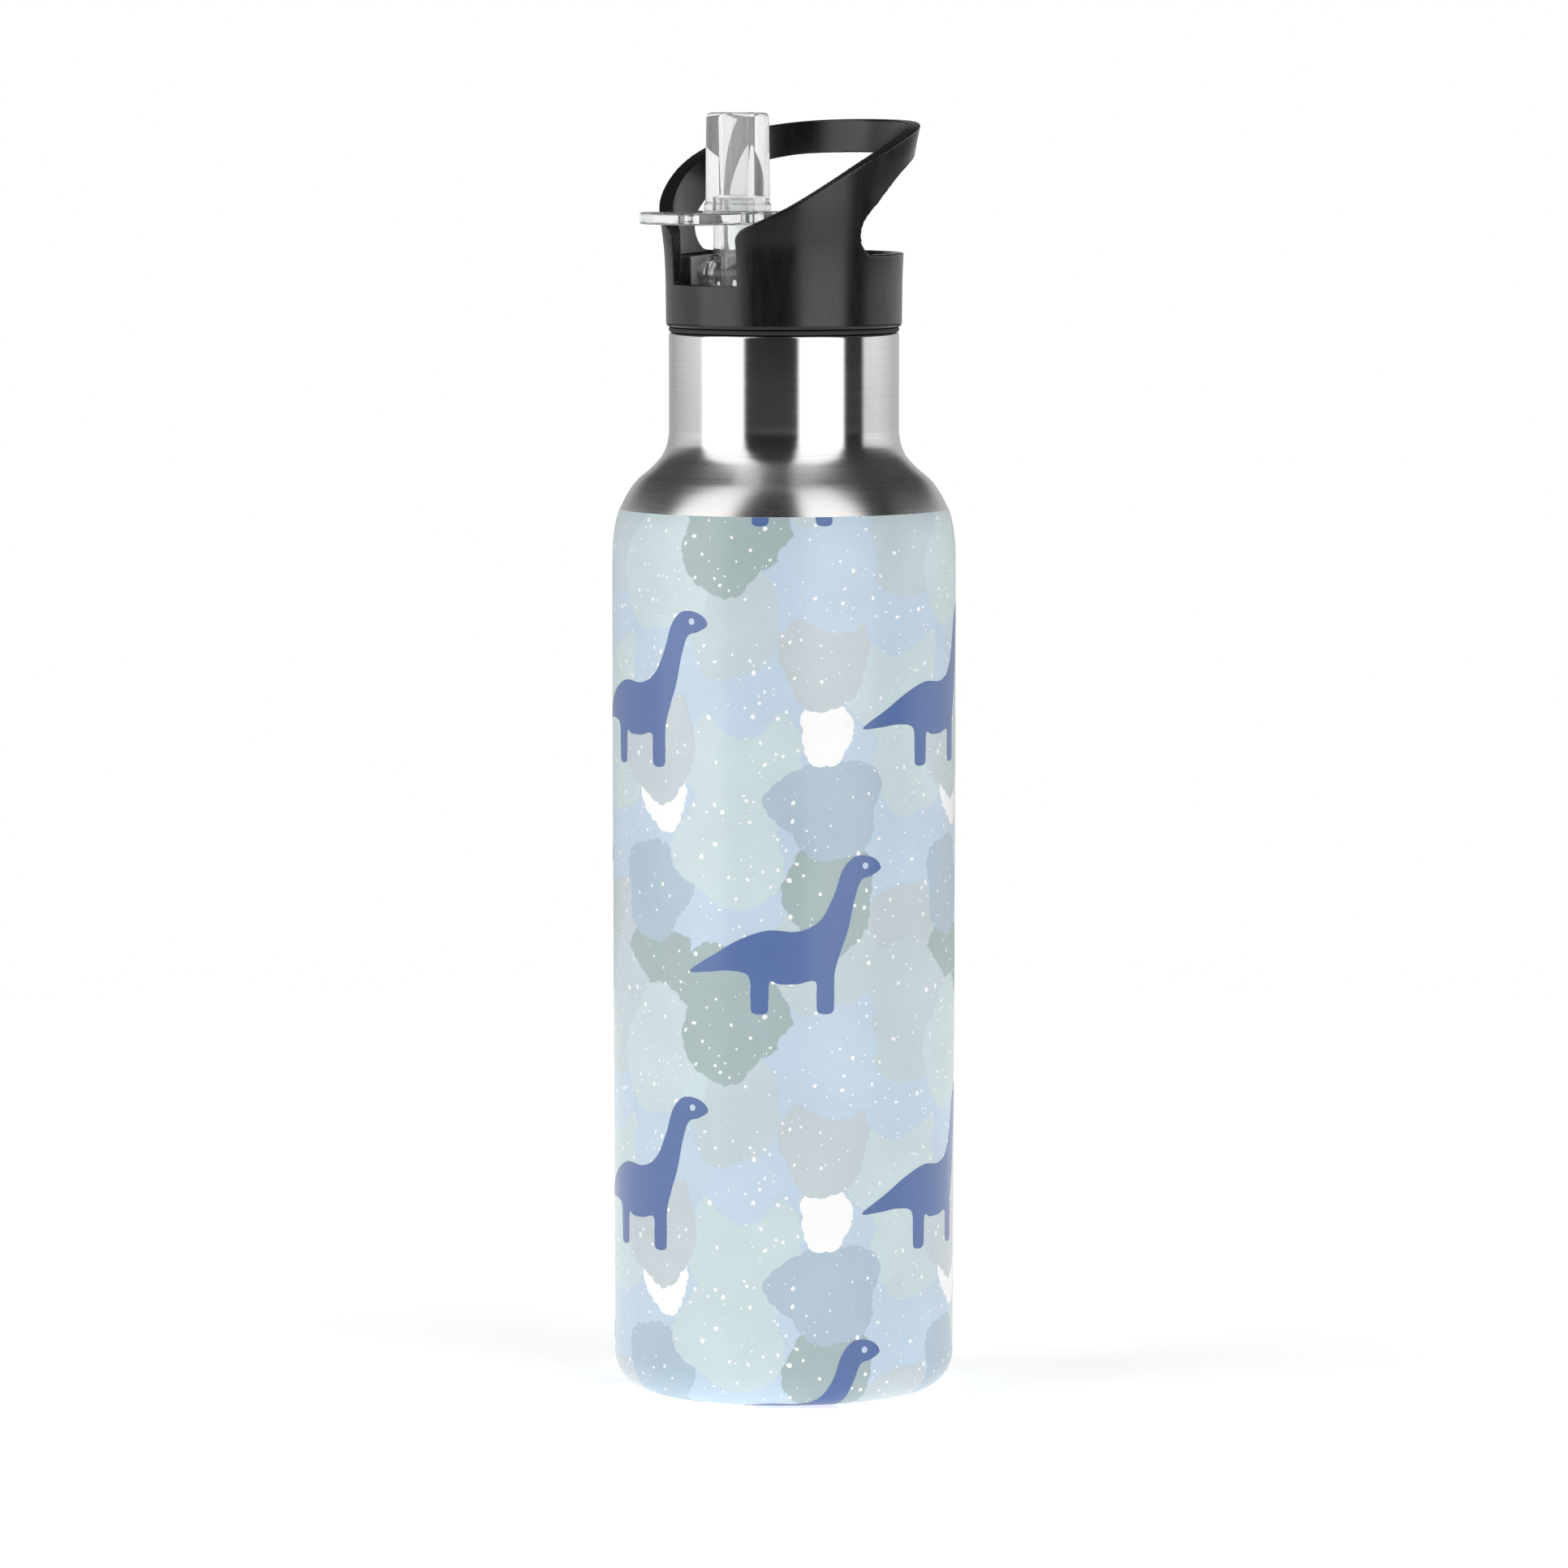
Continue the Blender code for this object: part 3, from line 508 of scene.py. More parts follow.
def on_coat(angle, v, off):
    """The point and normal on the coat at an angle and a height along it, off mm outside the steel."""
    v = max(V[-1], min(V[0], v))
    i = 0
    while i < len(V) - 2 and v < V[i + 1]:
        i += 1
    t = (V[i] - v) / (V[i] - V[i + 1])
    r0, z0 = coat_line[i]
    r1, z1 = coat_line[i + 1]
    nr = NORM[i][0] * (1 - t) + NORM[i + 1][0] * t
    nz = NORM[i][1] * (1 - t) + NORM[i + 1][1] * t
    r = (r0 + NORM[i][0] * off) * (1 - t) + (r1 + NORM[i + 1][0] * off) * t
    z = (z0 + NORM[i][1] * off) * (1 - t) + (z1 + NORM[i + 1][1] * off) * t
    k = math.floor(angle / STEP + 1e-9)
    s = angle / STEP - k
    c = (1 - s) * math.cos(k * STEP) + s * math.cos((k + 1) * STEP)
    d = (1 - s) * math.sin(k * STEP) + s * math.sin((k + 1) * STEP)
    return (r * c * MM, r * d * MM, z * MM), (nr * math.cos(angle), nr * math.sin(angle), nz)


verts, norms, faces = [], [], []
for side in (COAT, -0.02):
    for v in V:
        for k in range(SECT):
            p, n = on_coat(k * STEP, v, side)
            verts.append(p)
            norms.append(n if side > 0 else tuple(-x for x in n))
rows = len(V)
for j in range(rows - 1):
    for k in range(SECT):
        a, b = j * SECT + k, j * SECT + (k + 1) % SECT
        c, d = a + SECT, b + SECT
        faces.append((a, c, d, b))
        m = rows * SECT
        faces.append((m + a, m + b, m + d, m + c))
for k in range(SECT):
    a, b, m = k, (k + 1) % SECT, rows * SECT
    faces.append((a, b, m + b, m + a))
    e = (rows - 1) * SECT
    faces.append((e + b, e + a, m + e + a, m + e + b))
PAPER = ink("coat_ground", srgb(193, 211, 227), rough=0.33, mottle=0.03)
coat = place(make("printed_coat", verts, faces, PAPER, normals=norms), "bottle")

# The artwork is drawn flat, in millimetres: x runs round the bottle from the
# middle of the front view, y is height. It repeats three times round.
TILE_X, TILE_Y = 2 * math.pi * R0 / 3, 102.6


inks = {}
order = {}


def put(colour, layer, outline, tiles=True, rows=(-1, 0, 1)):
    """Adds a closed flat outline to an ink, repeated over the bottle."""
    order[layer] = order.get(layer, 0) + 1
    inks.setdefault(colour, []).append((0.0062 * layer + 0.0015 * (order[layer] % 4), outline, tiles, rows))


def leafy(line, seed, height=0.55):
    """Rounds a closed outline's edge into uneven leaf bumps that stand outwards."""
    r = random.Random(seed)
    n = len(line)
    turned_ = sum(line[i][0] * line[(i + 1) % n][1] - line[(i + 1) % n][0] * line[i][1] for i in range(n))
    out_ = 1 if turned_ > 0 else -1
    fine = []
    for i in range(n):
        a, b = line[i], line[(i + 1) % n]
        m = max(1, int(math.hypot(b[0] - a[0], b[1] - a[1]) / 0.35))
        fine += [(a[0] + (b[0] - a[0]) * j / m, a[1] + (b[1] - a[1]) * j / m) for j in range(m)]
    res, span_, at_, size = [], r.uniform(2.0, 4.5), 0.0, r.uniform(0.5, 1.0)
    n = len(fine)
    for i, (x, y) in enumerate(fine):
        a, b = fine[i - 2], fine[(i + 2) % n]
        dx, dy = b[0] - a[0], b[1] - a[1]
        d = math.hypot(dx, dy) or 1.0
        h = height * size * math.sqrt(max(0.0, math.sin(math.pi * min(1.0, at_ / span_))))
        res.append((x + out_ * dy / d * h, y - out_ * dx / d * h))
        step = math.hypot(fine[(i + 1) % n][0] - x, fine[(i + 1) % n][1] - y)
        at_ += step
        if at_ > span_:
            at_, span_, size = 0.0, r.uniform(1.6, 4.8), r.uniform(0.45, 1.15)
    return res


# Soft rounded masses on an even grid, every other column dropped by half a
# step, each nudged and shaped by a fixed seed. Every mass has its own lift.
def mass(cx, cy, rx, ry, r):
    """A rounded closed outline with a few broad lobes."""
    a, b, p, q = r.uniform(0.05, 0.12), r.uniform(0.03, 0.07), r.uniform(0, 6.28), r.uniform(0, 6.28)
    line = []
    for k in range(64):
        t = 2 * math.pi * k / 64
        g = 1 + a * math.sin(3 * t + p) + b * math.sin(5 * t + q)
        line.append((cx + rx * g * math.cos(t), cy + ry * g * math.sin(t)))
    return line


grow = random.Random(7)
TONES = ("sage", "sky", "mint", "fog", "blue", "haze", "mint", "sky", "paper")
COLS, ROWS = 4, 6
count = 0
for col in range(COLS):
    for row in range(ROWS):
        tone = TONES[(count * 4 + col) % len(TONES)]
        cx = -TILE_X / 2 + TILE_X * (col + 0.5) / COLS + grow.uniform(-2.5, 2.5)
        cy = 92.7 + TILE_Y * (row + 0.5 * (col % 2)) / ROWS + grow.uniform(-2.5, 2.5)
        size = 0.55 if tone == "paper" else 1.0
        put(tone, 1 + count % 6, leafy(mass(cx, cy, size * grow.uniform(9.5, 13.0), size * grow.uniform(10.0, 15.0),
                                            grow), 100 + count))
        count += 1

# Speckles.
rnd = random.Random(41)
spots = []
for _ in range(520):
    x, y = rnd.uniform(-TILE_X / 2, TILE_X / 2), rnd.uniform(92.7, 195.3)
    r = rnd.choice((0.16, 0.2, 0.24, 0.28, 0.34, 0.42, 0.55)) * rnd.uniform(0.8, 1.15)
    near = [1 for u, v, w in spots for ex in (-TILE_X, 0, TILE_X) for ey in (-TILE_Y, 0, TILE_Y)
            if math.hypot(x - u - ex, y - v - ey) < (r + w) * 1.2 + 0.1]
    if near:
        continue
    spots.append((x, y, r))
    sx, rot, m = rnd.uniform(0.6, 1.0), rnd.uniform(0, math.pi), rnd.choice((7, 8, 9))
    line = []
    for k in range(m):
        q, w = 2 * math.pi * k / m, r * rnd.uniform(0.82, 1.12)
        px, py = w * sx * math.cos(q), w * math.sin(q)
        line.append((x + px * math.cos(rot) - py * math.sin(rot), y + px * math.sin(rot) + py * math.cos(rot)))
    put("paper", 8, line)

# A plain four-legged, long-necked dinosaur in one flat colour, with a dot for an
# eye, on an even half-drop repeat.
LONGNECK = [(-21, 8.6), (-15, 12.4), (-9.5, 15.6), (-3.5, 17.6), (3.0, 17.4), (7.6, 19.6), (10.6, 24.8), (12.6, 30.2),
            (15.6, 33.0), (19.6, 32.6), (21.6, 30.4), (19.4, 28.8), (16.8, 27.8), (15.2, 23.6), (13.8, 17.6),
            (12.0, 12.6), (10.8, 8.4), (10.7, 3.0), (10.3, 0.2), (7.3, 0.2), (6.9, 3.0), (6.6, 6.8), (2.8, 6.3),
            (-1.0, 6.3), (-3.0, 6.8), (-3.3, 3.0), (-3.7, 0.2), (-6.7, 0.2), (-7.1, 3.0), (-7.6, 8.0), (-12.0, 9.0),
            (-16.5, 8.6)]
for cx, foot in ((0.0, 84.0), (TILE_X / 2, 84.0 + TILE_Y / 2)):
    put("dino", 9, [(cx + x, foot + y) for x, y in catmull(LONGNECK, 6)])
    put("outline", 10, [(cx + 17.8 + 0.7 * math.cos(k * math.pi / 8), foot + 30.9 + 0.7 * math.sin(k * math.pi / 8))
                        for k in range(16)])

COLOURS = {"sage": srgb(165, 183, 184), "sky": srgb(194, 212, 228), "mint": srgb(201, 218, 221),
           "fog": srgb(196, 206, 211), "blue": srgb(175, 194, 208), "haze": srgb(196, 210, 215),
           "paper": srgb(252, 252, 253), "dino": srgb(86, 111, 164), "outline": srgb(196, 210, 232)}


def print_ink(colour):
    """One ink as thin closed films on the coat, cut where the coat's facets meet."""
    flat = bmesh.new()
    pieces = []
    for layer, outline, tiles, rows_ in inks[colour]:
        line = [outline[0]]
        for p in outline[1:]:
            if math.hypot(p[0] - line[-1][0], p[1] - line[-1][1]) > 0.02:
                line.append(p)
        tris = tessellate_polygon([[Vector((x, y, 0)) for x, y in line]])
        for k in range(3):
            for row in rows_:
                dy = row * TILE_Y
                ys = [y + dy for _, y in line]
                if min(ys) > V[0] or max(ys) < V[-1]:
                    continue
                pieces.append((layer, line, tris, k * TILE_X, dy))
    verts_, norms_, faces_ = [], [], []
    for layer, line, tris, dx, dy in pieces:
        bm = bmesh.new()
        vs = [bm.verts.new((x + dx, y + dy, 0)) for x, y in line]
        for t in tris:
            try:
                bm.faces.new([vs[i] for i in t])
            except ValueError:
                pass
        xs = [v.co.x for v in vs]
        ys = [v.co.y for v in vs]
        unit = R0 * STEP
        shift = HOME * R0
        k0, k1 = math.floor((min(xs) + shift) / unit), math.ceil((max(xs) + shift) / unit)
        for k in range(k0, k1 + 1):
            bmesh.ops.bisect_plane(bm, geom=bm.verts[:] + bm.edges[:] + bm.faces[:], dist=1e-5,
                                   plane_co=(k * unit - shift, 0, 0), plane_no=(1, 0, 0))
        for v in V[1:-1]:
            if min(ys) + 1e-4 < v < max(ys) - 1e-4:
                bmesh.ops.bisect_plane(bm, geom=bm.verts[:] + bm.edges[:] + bm.faces[:], dist=1e-5,
                                       plane_co=(0, v, 0), plane_no=(0, 1, 0))
        for end, sign in ((V[0] - 0.05, 1), (V[-1] + 0.05, -1)):
            if (max(ys) > end) if sign > 0 else (min(ys) < end):
                bmesh.ops.bisect_plane(bm, geom=bm.verts[:] + bm.edges[:] + bm.faces[:], dist=1e-5,
                                       plane_co=(0, end, 0), plane_no=(0, sign, 0), clear_outer=True)
        bmesh.ops.remove_doubles(bm, verts=bm.verts, dist=1e-5)
        bm.verts.ensure_lookup_table()
        bm.verts.index_update()
        if not bm.faces:
            bm.free()
            continue
        base, n = len(verts_), len(bm.verts)
        lift = COAT + layer
        for off, sign in ((lift, 1), (COAT - 0.02, -1)):
            for v in bm.verts:
                p, nm = on_coat((v.co.x + shift) / R0, v.co.y, off)
                verts_.append(p)
                norms_.append(nm if sign > 0 else tuple(-q for q in nm))
        for fc in bm.faces:
            fc.normal_update()
            idx = [v.index for v in fc.verts]
            if fc.normal.z < 0:
                idx = idx[::-1]
            faces_.append([base + i for i in idx])
            faces_.append([base + n + i for i in idx[::-1]])
            m = len(idx)
            for i in range(m):
                a, b = idx[i], idx[(i + 1) % m]
                e = bm.edges.get((bm.verts[a], bm.verts[b]))
                if e is not None and len(e.link_faces) == 1:
                    faces_.append([base + b, base + a, base + n + a, base + n + b])
        bm.free()
    flat.free()
    return make("ink_" + colour, verts_, faces_, ink("ink_" + colour, COLOURS[colour]), normals=norms_)


for colour in inks:
    place(print_ink(colour), "bottle")

# ------------------------------------------------------------------ the base
bead = turn("seal_bead", round_corners([(0.0, 3.5), (1.0, 3.5, 0.3), (1.0, 2.3), (2.5, 2.2, 0.2), (2.1, 1.75, 0.3),
                                        (0.0, 1.6)], closed=False), GLASS, 48, closed=False)
place(bead, "bottle", "vacuum_seal_bead", slot="seal_glass")
disc = turn("underside_disc", round_corners([(0.0, 1.25), (18.9, 1.25, 0.1), (18.9, 0.85, 0.2), (18.3, 0.45, 0.3),
                                             (14.0, 0.45, 0.4), (13.6, 0.62, 0.3), (6.4, 0.62, 0.3), (6.0, 0.45, 0.3),
                                             (0.0, 0.45)], closed=False), DISC, 128, closed=False)
place(disc, "bottle", "base_disc", slot="base_disc_steel")
gcup = turn("getter_dish", round_corners([(9.2, 4.9, 0.1), (9.2, 3.4, 0.4), (5.4, 3.4, 0.4), (5.4, 4.9, 0.1),
                                          (5.8, 4.9, 0.1), (5.8, 3.8, 0.2), (8.8, 3.8, 0.2), (8.8, 4.9, 0.1)]),
            GETTER, 72)
place(gcup, "bottle", "getter_cup", slot="getter_metal")
pellet = turn("getter_ring", round_corners([(8.5, 4.7, 0.15), (8.5, 4.1, 0.1), (6.1, 4.1, 0.1), (6.1, 4.7, 0.15)]),
              moulded("getter_alloy", (0.05, 0.05, 0.052), 0.7), 72)
place(pellet, "bottle", "getter_pellet", slot="getter_alloy")

# ------------------------------------------------------------------ the liner
MOUTH_R = 22.05
liner_curve = catmull([(MOUTH_R, 205.5), (MOUTH_R, 203.5), (22.35, 202.0), (22.9, 200.4), (23.9, 198.6), (25.2, 197.0),
                       (26.8, 195.2), (28.4, 193.4), (29.9, 191.5), (31.0, 189.4), (32.0, 187.0), (32.6, 184.4),
                       (33.0, 181.0), (33.15, 177.0), (33.2, 172.0)], 4, closed=False)
liner_in = [(MOUTH_R, LIP - 0.15)] + liner_curve + [(33.2, 14.2)]
liner_out = [(MOUTH_R + SHEET, LIP - 0.15)] + [(r + SHEET, z + 0.1) for r, z in liner_curve] + [(33.8, 14.2)]


def thread(name, r, wire, z0, turns, start, pitch=4.0, per=96):
    """A round bead on a helix, its ends tapering into the wall, as a closed tube."""
    n, m = int(turns * per), 14
    verts_, faces_ = [], []
    for i in range(n + 1):
        t = i / n
        a = start + t * turns * 2 * math.pi
        w = wire * min(1.0, 0.35 + 0.65 * min(1.0, t * turns / 0.1, (1 - t) * turns / 0.1))
        for k in range(m):
            q = 2 * math.pi * k / m
            rr = r + w * math.cos(q)
            verts_.append((rr * math.cos(a) * MM, rr * math.sin(a) * MM, (z0 + t * turns * pitch + w * math.sin(q)) * MM))
    for i in range(n):
        for k in range(m):
            a, b = i * m + k, i * m + (k + 1) % m
            faces_.append((a, a + m, b + m, b))
    faces_.append(tuple(range(m)))
    faces_.append(tuple(range(n * m, n * m + m))[::-1])
    ob = make(name, verts_, faces_, [])
    bm = bmesh.new()
    bm.from_mesh(ob.data)
    bmesh.ops.recalc_face_normals(bm, faces=bm.faces)
    bm.to_mesh(ob.data)
    bm.free()
    return ob


liner_solid = turn("liner_raw", liner_out + liner_in[::-1], [], 160)
liner = carve("liner_wall", liner_solid,
              [("UNION", thread("mouth_thread", MOUTH_R + 0.32, 0.95, 214.2, 1.6, 0.4))], LINER)
place(liner, "bottle", "inner_liner", slot="liner_steel")
lc = 6.0
lb_in = [(33.2, 14.0)] + [(33.2 - lc + lc * math.cos(a), 13.0 - lc * math.sin(a))
                          for a in [math.pi / 2 * i / 10 for i in range(11)]] + [(0.0, 7.0)]
lb_out = [(33.8, 14.0)] + [(33.2 - lc + 6.6 * math.cos(a), 13.0 - 6.6 * math.sin(a))
                           for a in [math.pi / 2 * i / 10 for i in range(11)]] + [(0.0, 6.4)]
place(turn("liner_floor", lb_in[::-1] + lb_out, LINER, 160, closed=False), "bottle", "liner_base",
      slot="liner_base_steel")

# ------------------------------------------------------------------ the lid
LID_Z = 227.0
DECK, RIM_LOW, TOP = 14.9, 15.6, 48.0
PY, PZ = -13.6, LID_Z + 11.3
NOTCH_X, NOTCH_H, NOTCH_ROUND = 9.6, 9.2, 2.8
CRADLE_X, CHEEK, C_FRONT, C_REAR = 10.4, 1.5, -17.2, -8.8
TROUGH_X, TROUGH_H, TROUGH_END = 9.3, 4.6, 22.0
FLANGE_R = 23.2

flare_pts = [(25.05, 0.6), (25.1, 5.0), (25.2, 11.0), (25.5, 16.5), (26.05, 21.0), (26.6, 25.5), (27.0, 30.5),
             (27.6, 35.5), (28.3, 39.5), (29.15, 43.5), (29.75, TOP)]
flare_line = catmull(flare_pts, 5, closed=False)
in_top = catmull([(23.3, 22.0), (23.6, 26.0), (24.0, 30.0), (24.45, 33.5), (24.9, 37.0), (26.0, 43.5), (26.6, TOP)],
                 5, closed=False)
lid_prof = [(0.0, DECK), (22.8, DECK), (22.95, 17.0)] + in_top + flare_line[::-1] + [(24.9, 0.15), (24.7, 0.0)] + [
    (FLANGE_R + 0.2, 0.0), (FLANGE_R + 0.2, 2.7), (22.6, 2.7), (22.6, DECK - 1.5), (0.0, DECK - 1.5)]
lid_raw = turn("lid_raw", [(r, z + LID_Z) for r, z in lid_prof], [], 224, closed=False)

tb = block("tb", (-CRADLE_X - CHEEK - 1.9, -23.4, LID_Z + TROUGH_H - 1.5),
           (CRADLE_X + CHEEK + 1.9, 22.9, LID_Z + DECK - 0.7))
tr = bar("tr", 23.0, LID_Z, LID_Z + DECK, seg=224)
m = tb.modifiers.new("trim", "BOOLEAN")
m.operation, m.object, m.solver = "INTERSECT", tr, "EXACT"
bpy.context.view_layer.update()
dg = bpy.context.evaluated_depsgraph_get()
trimmed = bpy.data.objects.new("tb2", bpy.data.meshes.new_from_object(tb.evaluated_get(dg), depsgraph=dg))
bpy.context.scene.collection.objects.link(trimmed)
bpy.data.objects.remove(tb)
bpy.data.objects.remove(tr)


def along(line, x):
    for (x0, h0), (x1, h1) in zip(line, line[1:]):
        if x <= x1:
            return h0 + (h1 - h0) * (x - x0) / (x1 - x0)
    return line[-1][1]


rim = catmull([(-27.0, 18.6), (-23.9, 21.0), (-20.5, 23.9), (-16.5, 26.7), (-12.4, 29.4), (-7.3, 32.5), (-2.6, 35.0),
               (2.2, 37.1), (7.3, 39.1), (12.0, 40.6), (17.0, 41.9), (22.0, 42.8), (26.0, 43.3), (30.0, 43.6)],
              6, closed=False)
flare = [(z, r) for r, z in flare_line]


def rim_height(bearing):
    z = 30.0
    for _ in range(14):
        z = along(rim, along(flare, z) * math.cos(bearing))
    x = abs(along(flare, z) * math.sin(bearing)) - NOTCH_X
    if math.cos(bearing) < 0 and x < NOTCH_ROUND:
        z -= NOTCH_ROUND * (1 - math.sqrt(max(0.0, 1 - (1 - max(x, 0.0) / NOTCH_ROUND) ** 2)))
    return z


bear = [math.radians(0.4 + 1.9 * k) for k in range(78)]
bear += [math.radians(149.0 + 0.5 * k) for k in range(20)] + [math.pi]
bear = [0.0] + bear + [2 * math.pi - a for a in bear[-2::-1]]
verts, faces = [], []
for a in bear:
    h = rim_height(a)
    verts += [(r * math.sin(a) * MM, r * math.cos(a) * MM, (z + LID_Z) * MM)
              for r, z in ((10.0, h), (40.0, h), (40.0, 70.0), (10.0, 70.0))]
n = len(bear)
for j in range(n):
    for i in range(4):
        p, q = 4 * j, 4 * ((j + 1) % n)
        faces.append((p + i, p + (i + 1) % 4, q + (i + 1) % 4, q + i))
rim_tool = make("rim_tool", verts, faces, [], smooth=False)
bm = bmesh.new()
bm.from_mesh(rim_tool.data)
bmesh.ops.recalc_face_normals(bm, faces=bm.faces)
bm.to_mesh(rim_tool.data)
bm.free()

lower = [(40.0, RIM_LOW), (6.0, RIM_LOW)]
curve = catmull([(4.0, 15.6), (2.4, 15.7), (1.0, 16.0), (-0.2, 16.9), (-1.2, 18.3), (-1.7, 19.8), (-1.75, 21.2),
                 (-1.3, 22.8), (-0.3, 24.2), (0.6, 25.2), (2.8, 27.2), (5.3, 29.3), (8.0, 31.3), (11.0, 33.1),
                 (14.2, 34.5), (17.0, 35.3), (20.5, 36.0), (25.0, 36.4), (30.0, 36.55)], 6, closed=False)
finger_line = [(y, z) for y, z in lower + curve + [(40.0, 36.6)]]
verts, faces = [], []
sections = ((-40.0, 0.0), (-26.6, 0.0), (-25.6, 0.22), (-24.4, 0.78), (-23.3, 1.0), (23.3, 1.0), (24.4, 0.78),
            (25.6, 0.22), (26.6, 0.0), (40.0, 0.0))
for x, fl in sections:
    verts += [(x * MM, (y - fl * 2.5 * max(0.0, min(1.0, (12.0 - y) / 9.0))) * MM, (z + LID_Z) * MM)
              for y, z in finger_line]
m = len(finger_line)
for q in range(len(sections) - 1):
    faces += [(q * m + k, q * m + (k + 1) % m, (q + 1) * m + (k + 1) % m, (q + 1) * m + k) for k in range(m)]
faces += [tuple(range(m)), tuple(range((len(sections) - 1) * m, len(sections) * m))[::-1]]
finger_tool = make("finger_tool", verts, faces, [], smooth=False)
bm = bmesh.new()
bm.from_mesh(finger_tool.data)
bmesh.ops.recalc_face_normals(bm, faces=bm.faces)
bm.to_mesh(finger_tool.data)
bm.free()

steps = [("UNION", trimmed),
         ("DIFFERENCE", block("pk", (-CRADLE_X - CHEEK - 0.3, C_FRONT - 0.3, LID_Z + TROUGH_H),
                              (CRADLE_X + CHEEK + 0.3, C_REAR + 0.3, LID_Z + 20.0))),
         ("DIFFERENCE", block("rl", (-NOTCH_X - 0.6, -20.9, LID_Z + TROUGH_H + 0.2),
                              (NOTCH_X + 0.6, -17.0, LID_Z + 19.6), round_z=0.5)),
         ("DIFFERENCE", block("bd", (-TROUGH_X, -9.5, LID_Z + TROUGH_H + 0.1), (TROUGH_X, TROUGH_END, LID_Z + 21.0),
                              round_z=2.2)),
         ("DIFFERENCE", block("nt", (-NOTCH_X, -40.0, LID_Z + NOTCH_H), (NOTCH_X, -16.9, LID_Z + 60.0))),
         ("DIFFERENCE", rim_tool), ("DIFFERENCE", finger_tool),
         ("DIFFERENCE", bar("ph", 4.8, LID_Z, LID_Z + TROUGH_H + 0.5, at=(0, PY, 0), seg=64))]
lid = carve("lid_moulding", lid_raw, steps, LID, voxel=0.19, smooth=13)
place(lid, "lid", "lid_shell", slot="lid_black")

# The cradle, its cheeks with rounded front corners.
c_lo, c_floor, c_hi = LID_Z + TROUGH_H + 0.3, LID_Z + 6.2, LID_Z + DECK
side = round_corners([(C_REAR, c_lo, 0.3), (C_REAR, c_hi, 1.2), (C_FRONT, c_hi, 1.0), (C_FRONT, c_lo, 2.6)])
cradle = carve("hinge_insert", prism("cr", side, CRADLE_X + CHEEK), [
    ("DIFFERENCE", block("cr_room", (-CRADLE_X, C_FRONT - 2, c_floor), (CRADLE_X, C_REAR + 2, c_hi + 2))),
    ("DIFFERENCE", bar("cr_pin", 1.67, -13, 13, axis="X", at=(0, PY, PZ), seg=64)),
    ("DIFFERENCE", bar("cr_seal", 4.8, LID_Z, LID_Z + 8.0, at=(0, PY, 0), seg=64))],
    CRADLE, voxel=0.12, smooth=4)
place(cradle, "lid", "hinge_cradle", slot="cradle_grey")

for s, node, slot in ((-1, "hinge_pin_left", "pin_steel_left"), (1, "hinge_pin_right", "pin_steel_right")):
    a, b = sorted((s * 4.6, s * (CRADLE_X + CHEEK - 0.1)))
    prof = round_corners([(0.8, b, 0.12), (1.6, b, 0.25), (1.6, a, 0.25), (0.8, a, 0.12)])
    pin = turn("pin_" + ("left" if s < 0 else "right"), prof, PIN, 64)
    pin.data.transform(Matrix.Rotation(math.pi / 2, 4, "Y"))
    pin.data.transform(Matrix.Translation(Vector((0, PY * MM, PZ * MM))))
    place(pin, "lid", node, slot=slot)

# The plug with its thread, port and vent.
z0 = LID_Z - 0.4
PLUG_R, PLUG_LO, BORE = 20.0, 212.0, 2.6
plug_prof = [(0.0, PLUG_LO + 2.0)] + round_corners(
    [(0.0, PLUG_LO + 2.0), (18.1, PLUG_LO + 2.0, 1.0), (18.1, z0 + 2.4, 0.3), (FLANGE_R, z0 + 2.4, 0.4),
     (FLANGE_R, z0, 0.3), (PLUG_R, z0, 0.2), (PLUG_R, PLUG_LO, 1.0), (0.0, PLUG_LO)], closed=False)[1:]
plug = carve("lid_plug_moulding", turn("plug_raw", plug_prof, [], 160, closed=False), [
    ("UNION", thread("plug_thread", PLUG_R + 0.15, 0.95, 216.0, 1.6, 2.2)),
    ("UNION", bar("pt", 4.4, PLUG_LO + 1.0, LID_Z + TROUGH_H - 0.2, at=(0, PY, 0), seg=64, edge=0.2)),
    ("UNION", bar("np", 3.3, PLUG_LO - 9.0, PLUG_LO + 1.5, at=(0, PY, 0), seg=64, edge=0.3)),
    ("DIFFERENCE", bar("pb", BORE, PLUG_LO - 12.0, LID_Z + 12.0, at=(0, PY, 0), seg=64)),
    ("DIFFERENCE", bar("vh", 1.35, PLUG_LO - 3.0, PLUG_LO + 4.0, at=(0, 10.5, 0), seg=48))],
    PLUG, voxel=0.26, smooth=4)
place(plug, "lid", "lid_plug", slot="plug_black")

gasket = turn("gasket_ring", round_corners(
    [(24.0, z0 + 0.22, 0.1), (24.4, z0 + 0.22, 0.15), (24.5, z0 - 0.4, 0.1), (24.35, z0 - 0.68, 0.15), (21.2, z0 - 0.7), (20.45, z0 - 1.6, 0.1),
     (20.3, z0 - 1.6), (20.3, z0 - 0.1), (23.9, z0 - 0.1)]), GASKET, 192)
place(gasket, "gasket", "lid_gasket", slot="gasket_black")

valve = turn("vent_umbrella", round_corners(
    [(0.0, PLUG_LO + 4.0), (0.9, PLUG_LO + 3.6, 0.5), (1.9, PLUG_LO + 2.3, 0.2), (1.1, PLUG_LO + 2.15, 0.1),
     (1.1, PLUG_LO - 0.15), (4.0, PLUG_LO - 0.25, 0.15), (3.7, PLUG_LO - 0.8, 0.3), (1.6, PLUG_LO - 1.4, 0.5),
     (0.0, PLUG_LO - 1.5)], closed=False), WHITE, 64, closed=False, at=(0, 10.5))
place(valve, "lid", "vent_valve", slot="valve_silicone")

